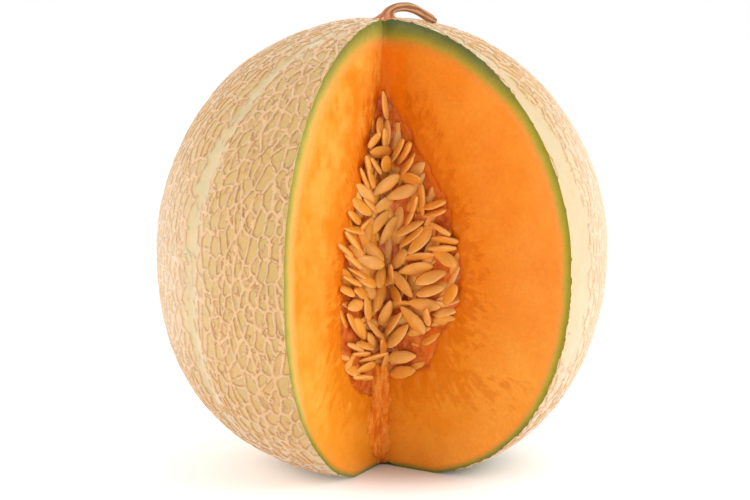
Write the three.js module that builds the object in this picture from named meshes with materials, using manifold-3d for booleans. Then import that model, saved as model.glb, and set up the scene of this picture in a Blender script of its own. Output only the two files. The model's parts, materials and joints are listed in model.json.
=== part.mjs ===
// Cut melon: a netted, orange-fleshed cantaloupe with one wedge taken out of its front from
// crown to base. The seeds and pulp lie in the hollow, and the dry stem is still on the crown.
// Millimetres, +Z up. Angles are in degrees, from the front (-Y) towards +X.
import * as THREE from 'three';
import { mergeVertices } from 'three/addons/utils/BufferGeometryUtils.js';
import { ConvexGeometry } from 'three/addons/geometries/ConvexGeometry.js';
import Module from 'manifold-3d';

const wasm = await Module();
wasm.setup();

// Whole fruit
const RADIUS = 80;
const CROWN_HEIGHT = 160;
const EQUATOR_HEIGHT = 80;
const BASE_RADIUS = 24;
const LOWER_FULLNESS = 2.35;
const SCAR_RADIUS = 9;
const SCAR_DEPTH = 1;
const CROWN_DIP = 0.8;
const CROWN_DIP_RADIUS = 8;
const SKIN_ROWS = 26;

// Grooves between the ribs, and the slight unevenness of the rind. The grooves run together at a
// pole that leans forward of the axis, out to where the stem stands.
const GROOVES = [-68, -33, 8, 46.5, 83, 120, 156, 192, 226, 258];
const POLE_LEAN = [1.5, -9];
const POLE_LEAN_REACH = [10, 32];
const GROOVE_DEPTH = 1.2;
const GROOVE_HALF_WIDTH = 2.6;
const COLUMNS_PER_RIB = 3;
const UNEVENNESS = 0.4;

// Broad swellings of the fruit (negative for a flattened side)
const SWELLINGS = [
  { angle: 78, turn: 45, height: 36, tall: 30, rise: -1.6 },
  { angle: -105, turn: 45, height: 152, tall: 20, rise: 1.2 },
];

// Wedge taken out. The line where its two cuts meet leans forward, clear of the stem, and a
// narrow third face blunts it towards the crown.
const WEDGE_HALF_ANGLE = 39.4;
const CORNER_X = -1.3;
const CORNER_Y_BASE = -1.8;
const CORNER_Y_CROWN = -7.5;
const BLUNT_LEFT = 1.8;
const BLUNT_RIGHT = 7;
const BLUNT_AT_BASE = 0.3;
const CUT_REACH = 140;

// Seed hollow: a spindle round the melon's axis, widest low down and pointed at the top. It draws
// in low on the right of the cut.
const HOLLOW_BOTTOM = 27;
const HOLLOW_TOP = 142;
const HOLLOW_RADIUS = 35.7;
const HOLLOW_WIDEST = 0.566;
const HOLLOW_BLUNTNESS = 0.66;
const HOLLOW_TAPER = 0.21;
const HOLLOW_UNEVENNESS = 0.035;
const NARROWING = { angle: 46, turn: 36, height: 44, tall: 13, share: 0.36 };
const HOLLOW_ROWS = 15;
const HOLLOW_COLUMNS = 30;

// Pulp that holds the seeds. It stands back from the wall on the upper right, where the hollow
// is empty.
const CLEARANCE = 0.4;
const PULP_CLEARANCE = 0.8;
const PULP_BULGE = 4.5;
const PULP_RECESS = 1.5;
const PULP_FRONT_STEPS = 10;
const PULP_FRONT_REACH = 60;
const EMPTY_SIDE = { angle: 60, turn: 45, height: 114, tall: 20, depth: 8 };
const PULP_LEAST_SHARE = 0.25;

// Seeds
const SEED_LENGTH = 12;
const SEED_WIDTH = 4.8;
const SEED_THICKNESS = 2.1;
const SEED_STATIONS = [
  { along: -0.24, width: 0.78 },
  { along: 0.22, width: 0.95 },
];
const SEED_SIDES = 6;
const SEED_COUNT = 84;
const SEED_HEIGHTS = [0.03, 0.91];
const SEED_SIZES = [0.85, 1.05];
const SEED_SINK = [-0.5, 0.2];
const SEED_MARGIN = 2.5;
const SPOTS_TRIED = 14;
const FLAT_SEED_SHARE = 0.65;
const FLAT_SEED_ROLL = 0.3;
const LOOSE_SEED_ROLL = 0.85;
const SEED_LEAN_SPREAD = 0.45;
const LEVEL_SEED_HEIGHT = 48;
const UPRIGHT_REACH = 9;
const SMALLEST_DETAIL = 0.06;

// Torn flesh down the corner under the hollow
const STRAND_BOTTOM = 6;
const STRAND_TOP = 36;
const STRAND_STEP = 3.4;
const LUMP_RADII = [2.6, 4.4];
const LUMP_FLATNESS = 0.62;
const LUMP_HEIGHT = 0.85;
const LUMP_TILT = 25;
const LUMP_SIDESTEP = 1.1;
const LUMP_STAND_OUT = [1.2, 2];

// Stem: a ridged stalk with a flared foot, arched over the crown
const STEM_RADIUS = 1.5;
const STEM_FLARE = 2.8;
const STEM_FLARE_LENGTH = 0.16;
const STEM_RIDGES = 5;
const STEM_RIDGE_DEPTH = 0.12;
const STEM_SIDES = 15;
const STEM_RINGS = 16;
const STEM_TURN = -14.7;
const STEM_PLACE = [-1.8, -6.8];

const { lerp, degToRad } = THREE.MathUtils;

// Centre of the stem, across and up from the middle of the crown.
const STEM_LINE = [
  [2, -2.6],
  [1.7, 1],
  [3, 3],
  [5.4, 3.9],
  [8.5, 4.1],
  [11.4, 3.1],
  [14.4, 1.2],
  [17, -0.5],
  [18.6, -1.5],
];

const wave = (angle, count, phase) => Math.sin(degToRad(angle * count + phase));
const bell = (distance, width) => Math.exp(-((distance / width) ** 2));

// Smallest turn between two directions, in degrees.
function turnBetween(a, b) {
  return Math.abs(THREE.MathUtils.euclideanModulo(a - b + 180, 360) - 180);
}

// Rounded patch of the fruit, from 1 at its middle to 0 away from it.
function patch(angle, height, place) {
  return bell(turnBetween(angle, place.angle), place.turn) * bell(height - place.height, place.tall);
}

// A point at an angle from the front, a distance from the axis and a height.
function polar(angle, distance, height) {
  const turn = degToRad(angle);
  return new THREE.Vector3(distance * Math.sin(turn), -distance * Math.cos(turn), height);
}

// The line where the two cuts meet, at a height.
function cornerAt(height) {
  const y = lerp(CORNER_Y_BASE, CORNER_Y_CROWN, height / CROWN_HEIGHT);
  return new THREE.Vector3(CORNER_X, y, height);
}

// Repeatable random numbers: each call gives one between the two limits.
function randomSource(seed) {
  let state = seed;
  return (low = 0, high = 1) => {
    state = (state * 1664525 + 1013904223) >>> 0;
    return lerp(low, high, state / 2 ** 32);
  };
}

function solidFrom(geometry) {
  const bare = geometry.clone();
  bare.deleteAttribute('normal');
  bare.deleteAttribute('uv');
  const merged = mergeVertices(bare, 1e-3);
  const vertProperties = new Float32Array(merged.attributes.position.array);
  const triVerts = new Uint32Array(merged.index.array);
  return new wasm.Manifold(new wasm.Mesh({ numProp: 3, vertProperties, triVerts }));
}

function geometryFrom(solid) {
  const mesh = solid.getMesh();
  const geometry = new THREE.BufferGeometry();
  geometry.setAttribute('position', new THREE.BufferAttribute(new Float32Array(mesh.vertProperties), 3));
  geometry.setIndex(new THREE.BufferAttribute(new Uint32Array(mesh.triVerts), 1));
  geometry.computeVertexNormals();
  return geometry;
}

// Closed surface of rings from a top point to a bottom point; each ring is a list of points.
function ringedSurface(top, rings, bottom) {
  const columns = rings[0].length;
  const points = [top, ...rings.flat(), bottom];
  const last = points.length - 1;
  const faces = [];
  for (let column = 0; column < columns; column += 1) {
    const next = (column + 1) % columns;
    faces.push(0, 1 + column, 1 + next);
    for (let row = 0; row + 1 < rings.length; row += 1) {
      const upper = 1 + row * columns;
      const lower = upper + columns;
      faces.push(upper + column, lower + column, lower + next);
      faces.push(upper + column, lower + next, upper + next);
    }
    const edge = last - columns;
    faces.push(edge + column, last, edge + next);
  }
  const geometry = new THREE.BufferGeometry().setFromPoints(points);
  geometry.setIndex(faces);
  return geometry;
}

// The largest separate piece of a solid, with the pockets sealed inside it filled.
function onePiece(solid) {
  let piece = solid;
  let shells = solidFrom(geometryFrom(piece)).decompose();
  while (shells.length > 1) {
    piece = shells.reduce((largest, shell) => (shell.volume() > largest.volume() ? shell : largest));
    shells = solidFrom(geometryFrom(piece)).decompose();
  }
  return shells[0];
}

// Skin

// Columns of the skin: each groove has three, and each rib a few more between its grooves.
function skinColumns() {
  const columns = [];
  GROOVES.forEach((groove, index) => {
    const following = index + 1 < GROOVES.length ? GROOVES[index + 1] : GROOVES[0] + 360;
    columns.push(groove - GROOVE_HALF_WIDTH, groove, groove + GROOVE_HALF_WIDTH);
    const start = groove + GROOVE_HALF_WIDTH;
    const span = following - GROOVE_HALF_WIDTH - start;
    for (let step = 1; step <= COLUMNS_PER_RIB; step += 1) {
      columns.push(start + (span * step) / (COLUMNS_PER_RIB + 1));
    }
  });
  return columns;
}

// Distance from the axis and height of the fruit's outline, from the crown to the edge of the base.
function skinOutline() {
  const power = 2 / LOWER_FULLNESS;
  const baseShare = (BASE_RADIUS / RADIUS) ** LOWER_FULLNESS;
  const depthBelow = EQUATOR_HEIGHT / (1 - baseShare) ** (1 / LOWER_FULLNESS);
  const lastTurn = Math.PI - Math.asin(Math.sqrt(baseShare));
  const outline = [];
  for (let row = 1; row <= SKIN_ROWS; row += 1) {
    const turn = (lastTurn * row) / SKIN_ROWS;
    const across = Math.sin(turn);
    const along = Math.cos(turn);
    if (along > 0) {
      const dip = CROWN_DIP * bell(RADIUS * across, CROWN_DIP_RADIUS);
      const height = EQUATOR_HEIGHT + (CROWN_HEIGHT - EQUATOR_HEIGHT) * along - dip;
      outline.push([RADIUS * across, height]);
    } else {
      outline.push([RADIUS * across ** power, EQUATOR_HEIGHT - depthBelow * (-along) ** power]);
    }
  }
  return outline;
}

// Where a meridian of the leaning pole crosses a ring of the outline, as an angle about the axis.
function leanedAngle(meridian, distance, height) {
  const share = (height - EQUATOR_HEIGHT) / (CROWN_HEIGHT - EQUATOR_HEIGHT);
  const lean = share * THREE.MathUtils.smoothstep(distance, ...POLE_LEAN_REACH);
  const start = new THREE.Vector2(...POLE_LEAN).multiplyScalar(lean);
  const turn = degToRad(meridian);
  const way = new THREE.Vector2(Math.sin(turn), -Math.cos(turn));
  const along = start.dot(way);
  const reach = Math.sqrt(along ** 2 + distance ** 2 - start.lengthSq()) - along;
  const end = start.addScaledVector(way, reach);
  return THREE.MathUtils.radToDeg(Math.atan2(end.x, -end.y));
}

// How far the rind stands out from the plain outline.
function rindRelief(meridian, angle, height) {
  const groove = GROOVES.reduce((sum, at) => sum + bell(turnBetween(meridian, at), GROOVE_HALF_WIDTH), 0);
  const waves = wave(angle, 2, height) * 0.5 + wave(angle, 3, 140 - 2 * height) * 0.5;
  const swelling = SWELLINGS.reduce((sum, place) => sum + place.rise * patch(angle, height, place), 0);
  return UNEVENNESS * waves + swelling - GROOVE_DEPTH * groove;
}

function makeSkin(extra = 0) {
  const columns = skinColumns();
  const middle = new THREE.Vector3(0, 0, EQUATOR_HEIGHT);
  const rings = skinOutline().map(([distance, height]) => {
    const fade = THREE.MathUtils.smoothstep(distance, BASE_RADIUS, RADIUS * 0.8);
    return columns.map((meridian) => {
      const angle = leanedAngle(meridian, distance, height);
      const offset = extra + fade * rindRelief(meridian, angle, height);
      return polar(angle, distance, height).sub(middle).multiplyScalar(1 + offset / RADIUS).add(middle);
    });
  });
  const scarEdge = columns.map((angle) => polar(angle, SCAR_RADIUS, -extra));
  const scarFloor = columns.map((angle) => polar(angle, SCAR_RADIUS / 2, SCAR_DEPTH - extra));
  const crown = new THREE.Vector3(0, 0, CROWN_HEIGHT - CROWN_DIP + extra);
  const scar = new THREE.Vector3(0, 0, SCAR_DEPTH - extra);
  return solidFrom(ringedSurface(crown, [...rings, scarEdge, scarFloor], scar));
}

// Outline of the wedge in plan at a height, narrower by a clearance on each face.
function wedgeOutline(height, clearance) {
  const half = degToRad(WEDGE_HALF_ANGLE);
  const share = THREE.MathUtils.clamp(height / CROWN_HEIGHT, 0, 1);
  const tip = cornerAt(height);
  tip.y -= clearance / Math.sin(half);
  const alongCut = (side, distance) => polar(side * WEDGE_HALF_ANGLE, distance, 0).add(tip);
  return [
    alongCut(1, lerp(BLUNT_AT_BASE, BLUNT_RIGHT, share)),
    alongCut(-1, lerp(BLUNT_AT_BASE, BLUNT_LEFT, share)),
    alongCut(-1, CUT_REACH),
    alongCut(1, CUT_REACH),
  ];
}

function makeWedge(clearance = 0) {
  const corners = [-CROWN_HEIGHT, 0, CROWN_HEIGHT, 2 * CROWN_HEIGHT].map((height) =>
    wedgeOutline(height, clearance),
  );
  return solidFrom(new ConvexGeometry(corners.flat()));
}

// Seed hollow

// Distance of the hollow's wall from the axis, at a share of the way up it.
function hollowDistance(angle, share) {
  const height = lerp(HOLLOW_BOTTOM, HOLLOW_TOP, share);
  const bluntness = HOLLOW_BLUNTNESS + HOLLOW_TAPER * Math.sqrt(share);
  const plain = Math.sin(Math.PI * share ** HOLLOW_WIDEST) ** bluntness;
  const uneven = 1 + HOLLOW_UNEVENNESS * (wave(angle, 3, height * 4) + 0.7 * wave(angle, 5, height * 7));
  const drawnIn = 1 - NARROWING.share * patch(angle, height, NARROWING);
  return HOLLOW_RADIUS * plain * uneven * drawnIn;
}

function pulpDistance(angle, share) {
  const height = lerp(HOLLOW_BOTTOM, HOLLOW_TOP, share);
  const wall = hollowDistance(angle, share);
  const empty = EMPTY_SIDE.depth * patch(angle, height, EMPTY_SIDE);
  return Math.max(wall - PULP_CLEARANCE - empty, wall * PULP_LEAST_SHARE);
}

function makeSpindle(distanceAt, shrink) {
  const rings = [];
  for (let row = 1; row <= HOLLOW_ROWS; row += 1) {
    const share = 0.5 + 0.5 * Math.cos((Math.PI * row) / (HOLLOW_ROWS + 1));
    const height = lerp(HOLLOW_BOTTOM + shrink, HOLLOW_TOP - shrink, share);
    const ring = [];
    for (let column = 0; column < HOLLOW_COLUMNS; column += 1) {
      const angle = (360 * column) / HOLLOW_COLUMNS;
      ring.push(polar(angle, Math.max(distanceAt(angle, share) - shrink, 0.3), height));
    }
    rings.push(ring);
  }
  const top = new THREE.Vector3(0, 0, HOLLOW_TOP - shrink);
  const bottom = new THREE.Vector3(0, 0, HOLLOW_BOTTOM + shrink);
  return solidFrom(ringedSurface(top, rings, bottom));
}

// Lumps of torn flesh in a row up the corner, each grown by a clearance.
function makeStrand(clearance = 0) {
  const random = randomSource(11);
  let strand = null;
  for (let height = STRAND_BOTTOM; height <= STRAND_TOP; height += STRAND_STEP) {
    const radius = random(...LUMP_RADII);
    const lump = new THREE.IcosahedronGeometry(1, 1);
    lump.scale(radius + clearance, radius * LUMP_FLATNESS + clearance, STRAND_STEP * LUMP_HEIGHT + clearance);
    lump.rotateY(degToRad(random(-LUMP_TILT, LUMP_TILT)));
    const at = cornerAt(height);
    lump.translate(at.x + random(-LUMP_SIDESTEP, LUMP_SIDESTEP), at.y - random(...LUMP_STAND_OUT), height);
    const solid = solidFrom(lump);
    strand = strand ? strand.add(solid) : solid;
  }
  return strand;
}

function makeMelon(clearance = 0) {
  return makeSkin()
    .subtract(makeWedge(clearance))
    .subtract(makeSpindle(hollowDistance, clearance))
    .add(makeStrand(clearance));
}

// Seeds

// Front of the pulp in plan: it follows both cuts and rounds the corner between them.
function pulpFront(x) {
  const alongCut = x / Math.tan(degToRad(WEDGE_HALF_ANGLE));
  return -Math.hypot(alongCut, PULP_BULGE);
}

// Everything in front of the pulp, leaning with the corner.
function makePulpFront() {
  const shape = new THREE.Shape();
  shape.moveTo(-PULP_FRONT_REACH, -CUT_REACH);
  shape.lineTo(PULP_FRONT_REACH, -CUT_REACH);
  for (let step = 0; step <= PULP_FRONT_STEPS; step += 1) {
    const share = 1 - (2 * step) / PULP_FRONT_STEPS;
    const x = PULP_FRONT_REACH * share * Math.abs(share);
    shape.lineTo(x, pulpFront(x) + PULP_RECESS);
  }
  shape.closePath();
  const front = new THREE.ExtrudeGeometry(shape, { depth: CROWN_HEIGHT, bevelEnabled: false });
  const lean = (CORNER_Y_CROWN - CORNER_Y_BASE) / CROWN_HEIGHT;
  front.applyMatrix4(new THREE.Matrix4().makeShear(0, 0, 0, 0, 0, lean));
  front.translate(CORNER_X, CORNER_Y_BASE, 0);
  return solidFrom(front);
}

function makePulp() {
  return makeSpindle(pulpDistance, PULP_CLEARANCE).subtract(makePulpFront());
}

// One flat seed along X, with a pointed end at -X and a round end at +X.
function makeSeedGeometry() {
  const rings = SEED_STATIONS.map(({ along, width }) => {
    const ring = [];
    for (let side = 0; side < SEED_SIDES; side += 1) {
      const turn = (2 * Math.PI * side) / SEED_SIDES;
      const y = 0.5 * SEED_WIDTH * width * Math.cos(turn);
      const z = 0.5 * SEED_THICKNESS * Math.sqrt(width) * Math.sin(turn);
      ring.push(new THREE.Vector3(along * SEED_LENGTH, y, -z));
    }
    return ring;
  });
  const tip = new THREE.Vector3(-SEED_LENGTH / 2, 0, 0);
  const heel = new THREE.Vector3(SEED_LENGTH / 2, 0, 0);
  return ringedSurface(tip, rings, heel);
}

// Lie of the seeds on the pulp: upright near the top, level low down, leaning out between.
function seedLean(side, height) {
  const rise = Math.atan2(Math.max(height - LEVEL_SEED_HEIGHT, 0), Math.abs(side) + UPRIGHT_REACH);
  return side < 0 ? Math.PI - rise : rise;
}

// A spot on the front of the pulp.
function randomSpot(random) {
  const share = random(...SEED_HEIGHTS);
  const side = random() < 0.5 ? -1 : 1;
  const reach = Math.max(pulpDistance(side * WEDGE_HALF_ANGLE, share) - SEED_MARGIN, 0);
  const x = side * random(0, reach) * Math.sin(degToRad(WEDGE_HALF_ANGLE));
  const height = lerp(HOLLOW_BOTTOM, HOLLOW_TOP, share);
  return { x, position: new THREE.Vector3(x, pulpFront(x), 0).add(cornerAt(height)) };
}

// Of several random spots, the one farthest from the seeds already placed.
function roomiestSpot(places, random) {
  const room = (spot) =>
    places.reduce((least, place) => Math.min(least, place.position.distanceTo(spot.position)), Infinity);
  const spots = Array.from({ length: SPOTS_TRIED }, () => randomSpot(random));
  return spots.reduce((best, spot) => (room(spot) > room(best) ? spot : best));
}

function seedPlaces() {
  const random = randomSource(5);
  const slope = Math.tan(degToRad(WEDGE_HALF_ANGLE)) ** 2;
  const places = [];
  while (places.length < SEED_COUNT) {
    const { x, position } = roomiestSpot(places, random);
    const mostRoll = random() < FLAT_SEED_SHARE ? FLAT_SEED_ROLL : LOOSE_SEED_ROLL;
    places.push({
      position,
      roll: random(-mostRoll, mostRoll),
      lean: seedLean(x, position.z) + random(-SEED_LEAN_SPREAD, SEED_LEAN_SPREAD),
      yaw: Math.atan(x / (slope * pulpFront(x))),
      sink: random(...SEED_SINK),
      size: random(...SEED_SIZES),
    });
  }
  return places;
}

function makeSeeds() {
  let heap = makePulp();
  for (const place of seedPlaces()) {
    const seed = makeSeedGeometry();
    seed.scale(place.size, place.size, place.size);
    seed.rotateX(Math.PI / 2 + place.roll);
    seed.rotateY(-place.lean);
    seed.rotateZ(place.yaw);
    seed.translate(place.position.x, place.position.y + place.sink, place.position.z);
    heap = heap.add(solidFrom(seed));
  }
  return onePiece(heap.subtract(makeMelon(CLEARANCE)).simplify(SMALLEST_DETAIL));
}

// Stem

function makeStem() {
  const points = STEM_LINE.map(([across, above]) => new THREE.Vector3(across, 0, CROWN_HEIGHT + above));
  const path = new THREE.CatmullRomCurve3(points);
  const up = new THREE.Vector3(0, 1, 0);
  const rings = [];
  for (let ring = 0; ring <= STEM_RINGS; ring += 1) {
    const share = ring / STEM_RINGS;
    const centre = path.getPointAt(share);
    const along = path.getTangentAt(share);
    const side = new THREE.Vector3().crossVectors(along, up).normalize();
    const out = new THREE.Vector3().crossVectors(side, along).normalize();
    const flare = STEM_FLARE * bell(share, STEM_FLARE_LENGTH);
    const edge = [];
    for (let corner = 0; corner < STEM_SIDES; corner += 1) {
      const turn = (2 * Math.PI * corner) / STEM_SIDES;
      const radius = (STEM_RADIUS + flare) * (1 + STEM_RIDGE_DEPTH * Math.cos(STEM_RIDGES * turn));
      const offset = side.clone().multiplyScalar(radius * Math.cos(turn));
      edge.push(centre.clone().add(offset).addScaledVector(out, radius * Math.sin(turn)));
    }
    rings.push(edge);
  }
  const tube = ringedSurface(path.getPointAt(0), rings, path.getPointAt(1));
  tube.rotateZ(degToRad(STEM_TURN));
  tube.translate(...STEM_PLACE, 0);
  return solidFrom(tube).subtract(makeSkin(CLEARANCE));
}

// Assembly

function makePart(name, solid, color, roughness) {
  const material = new THREE.MeshStandardMaterial({ name, color, roughness, metalness: 0 });
  const mesh = new THREE.Mesh(geometryFrom(solid), material);
  mesh.name = name;
  return mesh;
}

// Sets the group's box on the origin: middle of the box over it, lowest point on the ground.
function centreOnOrigin(group) {
  const box = new THREE.Box3().setFromObject(group);
  const middle = box.getCenter(new THREE.Vector3());
  group.children.forEach((mesh) => mesh.geometry.translate(-middle.x, -middle.y, -box.min.z));
}

const melon = new THREE.Group();
melon.name = 'cut_melon';
melon.add(makePart('melon', makeMelon(), 0xd9b27c, 0.7));
melon.add(makePart('seeds', makeSeeds(), 0xdf9a4c, 0.35));
melon.add(makePart('stem', makeStem(), 0xb87848, 0.8));
centreOnOrigin(melon);

export default melon;
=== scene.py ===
"""A cut netted melon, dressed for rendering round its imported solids.

The melon stands on its base with one wedge taken out of its front. Shapes are worked out in
millimetres from the melon's axis, which is upright, with the front towards -Y. Angles are in
degrees, from the front towards +X. Each piece is moved to the frame's metres when it is made.
"""

import json
import logging
import math
from dataclasses import dataclass, field
from enum import Enum

import bpy
import numpy as np
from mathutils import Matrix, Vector, geometry, kdtree

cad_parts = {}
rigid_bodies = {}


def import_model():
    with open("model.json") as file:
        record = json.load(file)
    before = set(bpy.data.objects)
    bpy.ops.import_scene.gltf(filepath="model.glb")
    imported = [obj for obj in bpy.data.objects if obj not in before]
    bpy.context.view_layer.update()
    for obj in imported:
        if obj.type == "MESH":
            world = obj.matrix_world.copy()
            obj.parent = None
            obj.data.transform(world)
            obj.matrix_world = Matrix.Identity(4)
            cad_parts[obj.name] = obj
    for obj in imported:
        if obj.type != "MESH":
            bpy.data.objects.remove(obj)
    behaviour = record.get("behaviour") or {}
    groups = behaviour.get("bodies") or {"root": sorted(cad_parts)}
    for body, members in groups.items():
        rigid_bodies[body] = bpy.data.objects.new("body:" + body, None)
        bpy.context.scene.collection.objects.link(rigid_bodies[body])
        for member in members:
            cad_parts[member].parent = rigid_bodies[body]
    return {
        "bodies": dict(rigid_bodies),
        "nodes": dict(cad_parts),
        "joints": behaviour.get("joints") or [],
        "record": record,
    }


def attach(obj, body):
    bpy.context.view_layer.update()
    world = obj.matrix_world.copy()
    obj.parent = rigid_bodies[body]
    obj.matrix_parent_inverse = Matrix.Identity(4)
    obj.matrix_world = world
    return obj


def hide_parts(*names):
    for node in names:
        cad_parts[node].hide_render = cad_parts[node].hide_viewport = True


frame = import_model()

LOG = logging.getLogger("cut_melon")
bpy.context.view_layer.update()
BODY = "root"

METRES = 0.001
AXIS_IN_FRAME = np.array([0.31, -7.95, 0.0])
TINY = 1e-9
ON_PLANE = 1e-6
SAME_PLACE = 1e-5
SHARP_EDGE = 55.0

# How screens write light, which runs straight where dark and as a power above that.
SCREEN_MOST = 255.0
DARK_MOST = 0.04045
DARK_SLOPE = 12.92
CURVE_OFFSET = 0.055
CURVE_POWER = 2.4

# Which inputs and output of the colour mixing node are which.
MIX_SHARE = 0
MIX_FIRST = 6
MIX_SECOND = 7
MIX_COLOUR = 2

# Large odd numbers that scramble a cell's place, and how many bits of the result count.
CELL_SCRAMBLE = (374761393, 668265263, 2246822519)
SEED_SCRAMBLE = 3266489917
SCRAMBLES = (1274126177, 2654435761)
SCRAMBLE_MASK = 0xFFFFFFFF

Points = np.ndarray
Numbers = np.ndarray


class Slot(Enum):
    """The record's material slots."""

    RIND = "rind"
    FLESH = "flesh"
    SEED = "seed"
    PULP = "pulp"
    STEM = "stem"


# Small mathematics


def bell(distance: Numbers, width: float) -> Numbers:
    """A rounded bump, 1 at no distance and near 0 beyond twice the width."""
    return np.exp(-((distance / width) ** 2))


def lerp(start: Numbers, end: Numbers, share: Numbers) -> Numbers:
    """The value at a share of the way from start to end."""
    return start + (end - start) * share


def smoothstep(low: float, high: float, value: Numbers) -> Numbers:
    """A smooth rise from 0 at low to 1 at high, or a fall where high is the smaller."""
    share = np.clip((value - low) / (high - low), 0.0, 1.0)
    return share * share * (3.0 - 2.0 * share)


def wave(angle: Numbers, count: int, phase: Numbers) -> Numbers:
    """A sine with a number of waves round the melon."""
    return np.sin(np.radians(angle * count + phase))


def turn_between(first: Numbers, second: float) -> Numbers:
    """The smallest turn between two directions, in degrees."""
    return np.abs((first - second + 180.0) % 360.0 - 180.0)


def unit(vectors: Points) -> Points:
    """The vectors at length 1."""
    return vectors / np.maximum(np.linalg.norm(vectors, axis=-1, keepdims=True), TINY)


def polar(angle: Numbers, distance: Numbers, height: Numbers) -> Points:
    """Points at angles from the front, distances from the axis and heights."""
    turn = np.radians(angle)
    across, depth, up = np.broadcast_arrays(distance * np.sin(turn), -distance * np.cos(turn), height)
    return np.stack([across, depth, up], axis=-1)


def angle_of(points: Points) -> Numbers:
    """The angle of each point from the front, seen from the axis."""
    return np.degrees(np.arctan2(points[..., 0], -points[..., 1]))


def lattice_value(cells: np.ndarray, seed: int) -> Numbers:
    """A repeatable random number from -1 to 1 for each whole-number cell.

    Args:
        cells: Whole numbers, three to a row.
        seed: Picks one of many patterns.

    Returns:
        One number for each row.
    """
    mixed = sum(cells[..., axis] * factor for axis, factor in enumerate(CELL_SCRAMBLE)) & SCRAMBLE_MASK
    mixed = (mixed + seed * SEED_SCRAMBLE) & SCRAMBLE_MASK
    for shift, factor in zip((13, 16), SCRAMBLES):
        mixed = ((mixed ^ (mixed >> shift)) * factor) & SCRAMBLE_MASK
    return (mixed ^ (mixed >> 15)) / SCRAMBLE_MASK * 2.0 - 1.0


def smooth_noise(points: Points, size: float, seed: int) -> Numbers:
    """Soft random lumps from -1 to 1.

    Args:
        points: Where to read them.
        size: Width of a lump, in the points' units.
        seed: Picks one of many patterns.

    Returns:
        One number for each point.
    """
    scaled = points / size
    low = np.floor(scaled).astype(np.int64)
    part = scaled - low
    ease = part * part * part * (part * (part * 6.0 - 15.0) + 10.0)
    total = np.zeros(points.shape[:-1])
    for corner in np.ndindex(2, 2, 2):
        weight = np.prod(np.where(np.array(corner) == 1, ease, 1.0 - ease), axis=-1)
        total += weight * lattice_value(low + np.array(corner), seed)
    return total


def rough_noise(points: Points, size: float, seed: int, layers: int = 3) -> Numbers:
    """Soft lumps with smaller lumps on them, each layer half the size and strength."""
    total = np.zeros(points.shape[:-1])
    for layer in range(layers):
        total += smooth_noise(points, size / 2**layer, seed + layer) / 2**layer
    return total / (2.0 - 0.5 ** (layers - 1))


@dataclass(frozen=True)
class Lumps:
    """Soft random lumps on a form.

    Attributes:
        size: Width of a lump in millimetres.
        seed: Picks one of many patterns.
        height: How far they rise and fall.
        layers: How many sizes of lump there are, each half the one before.
        squeeze: Factors along the axes, which draw the lumps out where they are below 1.
    """

    size: float
    seed: int
    height: float = 1.0
    layers: int = 1
    squeeze: tuple[float, float, float] = (1.0, 1.0, 1.0)

    def at(self, points: Points) -> Numbers:
        """Their height at points."""
        return self.height * rough_noise(points * self.squeeze, self.size, self.seed, self.layers)


# Colours and materials


@dataclass(frozen=True)
class Shade:
    """A colour as screens write it, from 0 to 255."""

    red: float
    green: float
    blue: float

    def linear(self) -> tuple[float, float, float, float]:
        """The colour in the renderer's own linear light, with full opacity."""
        parts = np.array([self.red, self.green, self.blue]) / SCREEN_MOST
        curved = ((parts + CURVE_OFFSET) / (1.0 + CURVE_OFFSET)) ** CURVE_POWER
        light = np.where(parts <= DARK_MOST, parts / DARK_SLOPE, curved)
        return tuple(float(part) for part in light) + (1.0,)


@dataclass(frozen=True)
class Rise:
    """A smooth change from start to end as a number goes from low to high."""

    low: float
    high: float
    start: float = 0.0
    end: float = 1.0


@dataclass(frozen=True)
class Pattern:
    """Soft noise from 0 to 1.

    Attributes:
        size: Width of its lumps in millimetres, or in the units of the coordinates it is given.
        detail: How many finer layers it has.
        rise: How it is read, where it is not read as it is.
        roughness: Strength of the finer layers.
    """

    size: float
    detail: float = 3.0
    rise: Rise | None = None
    roughness: float = 0.5


@dataclass(frozen=True)
class Moist:
    """How light spreads under a moist surface: its share, reach by colour, and scale in mm."""

    share: float
    reach: tuple[float, float, float]
    scale: float


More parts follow.
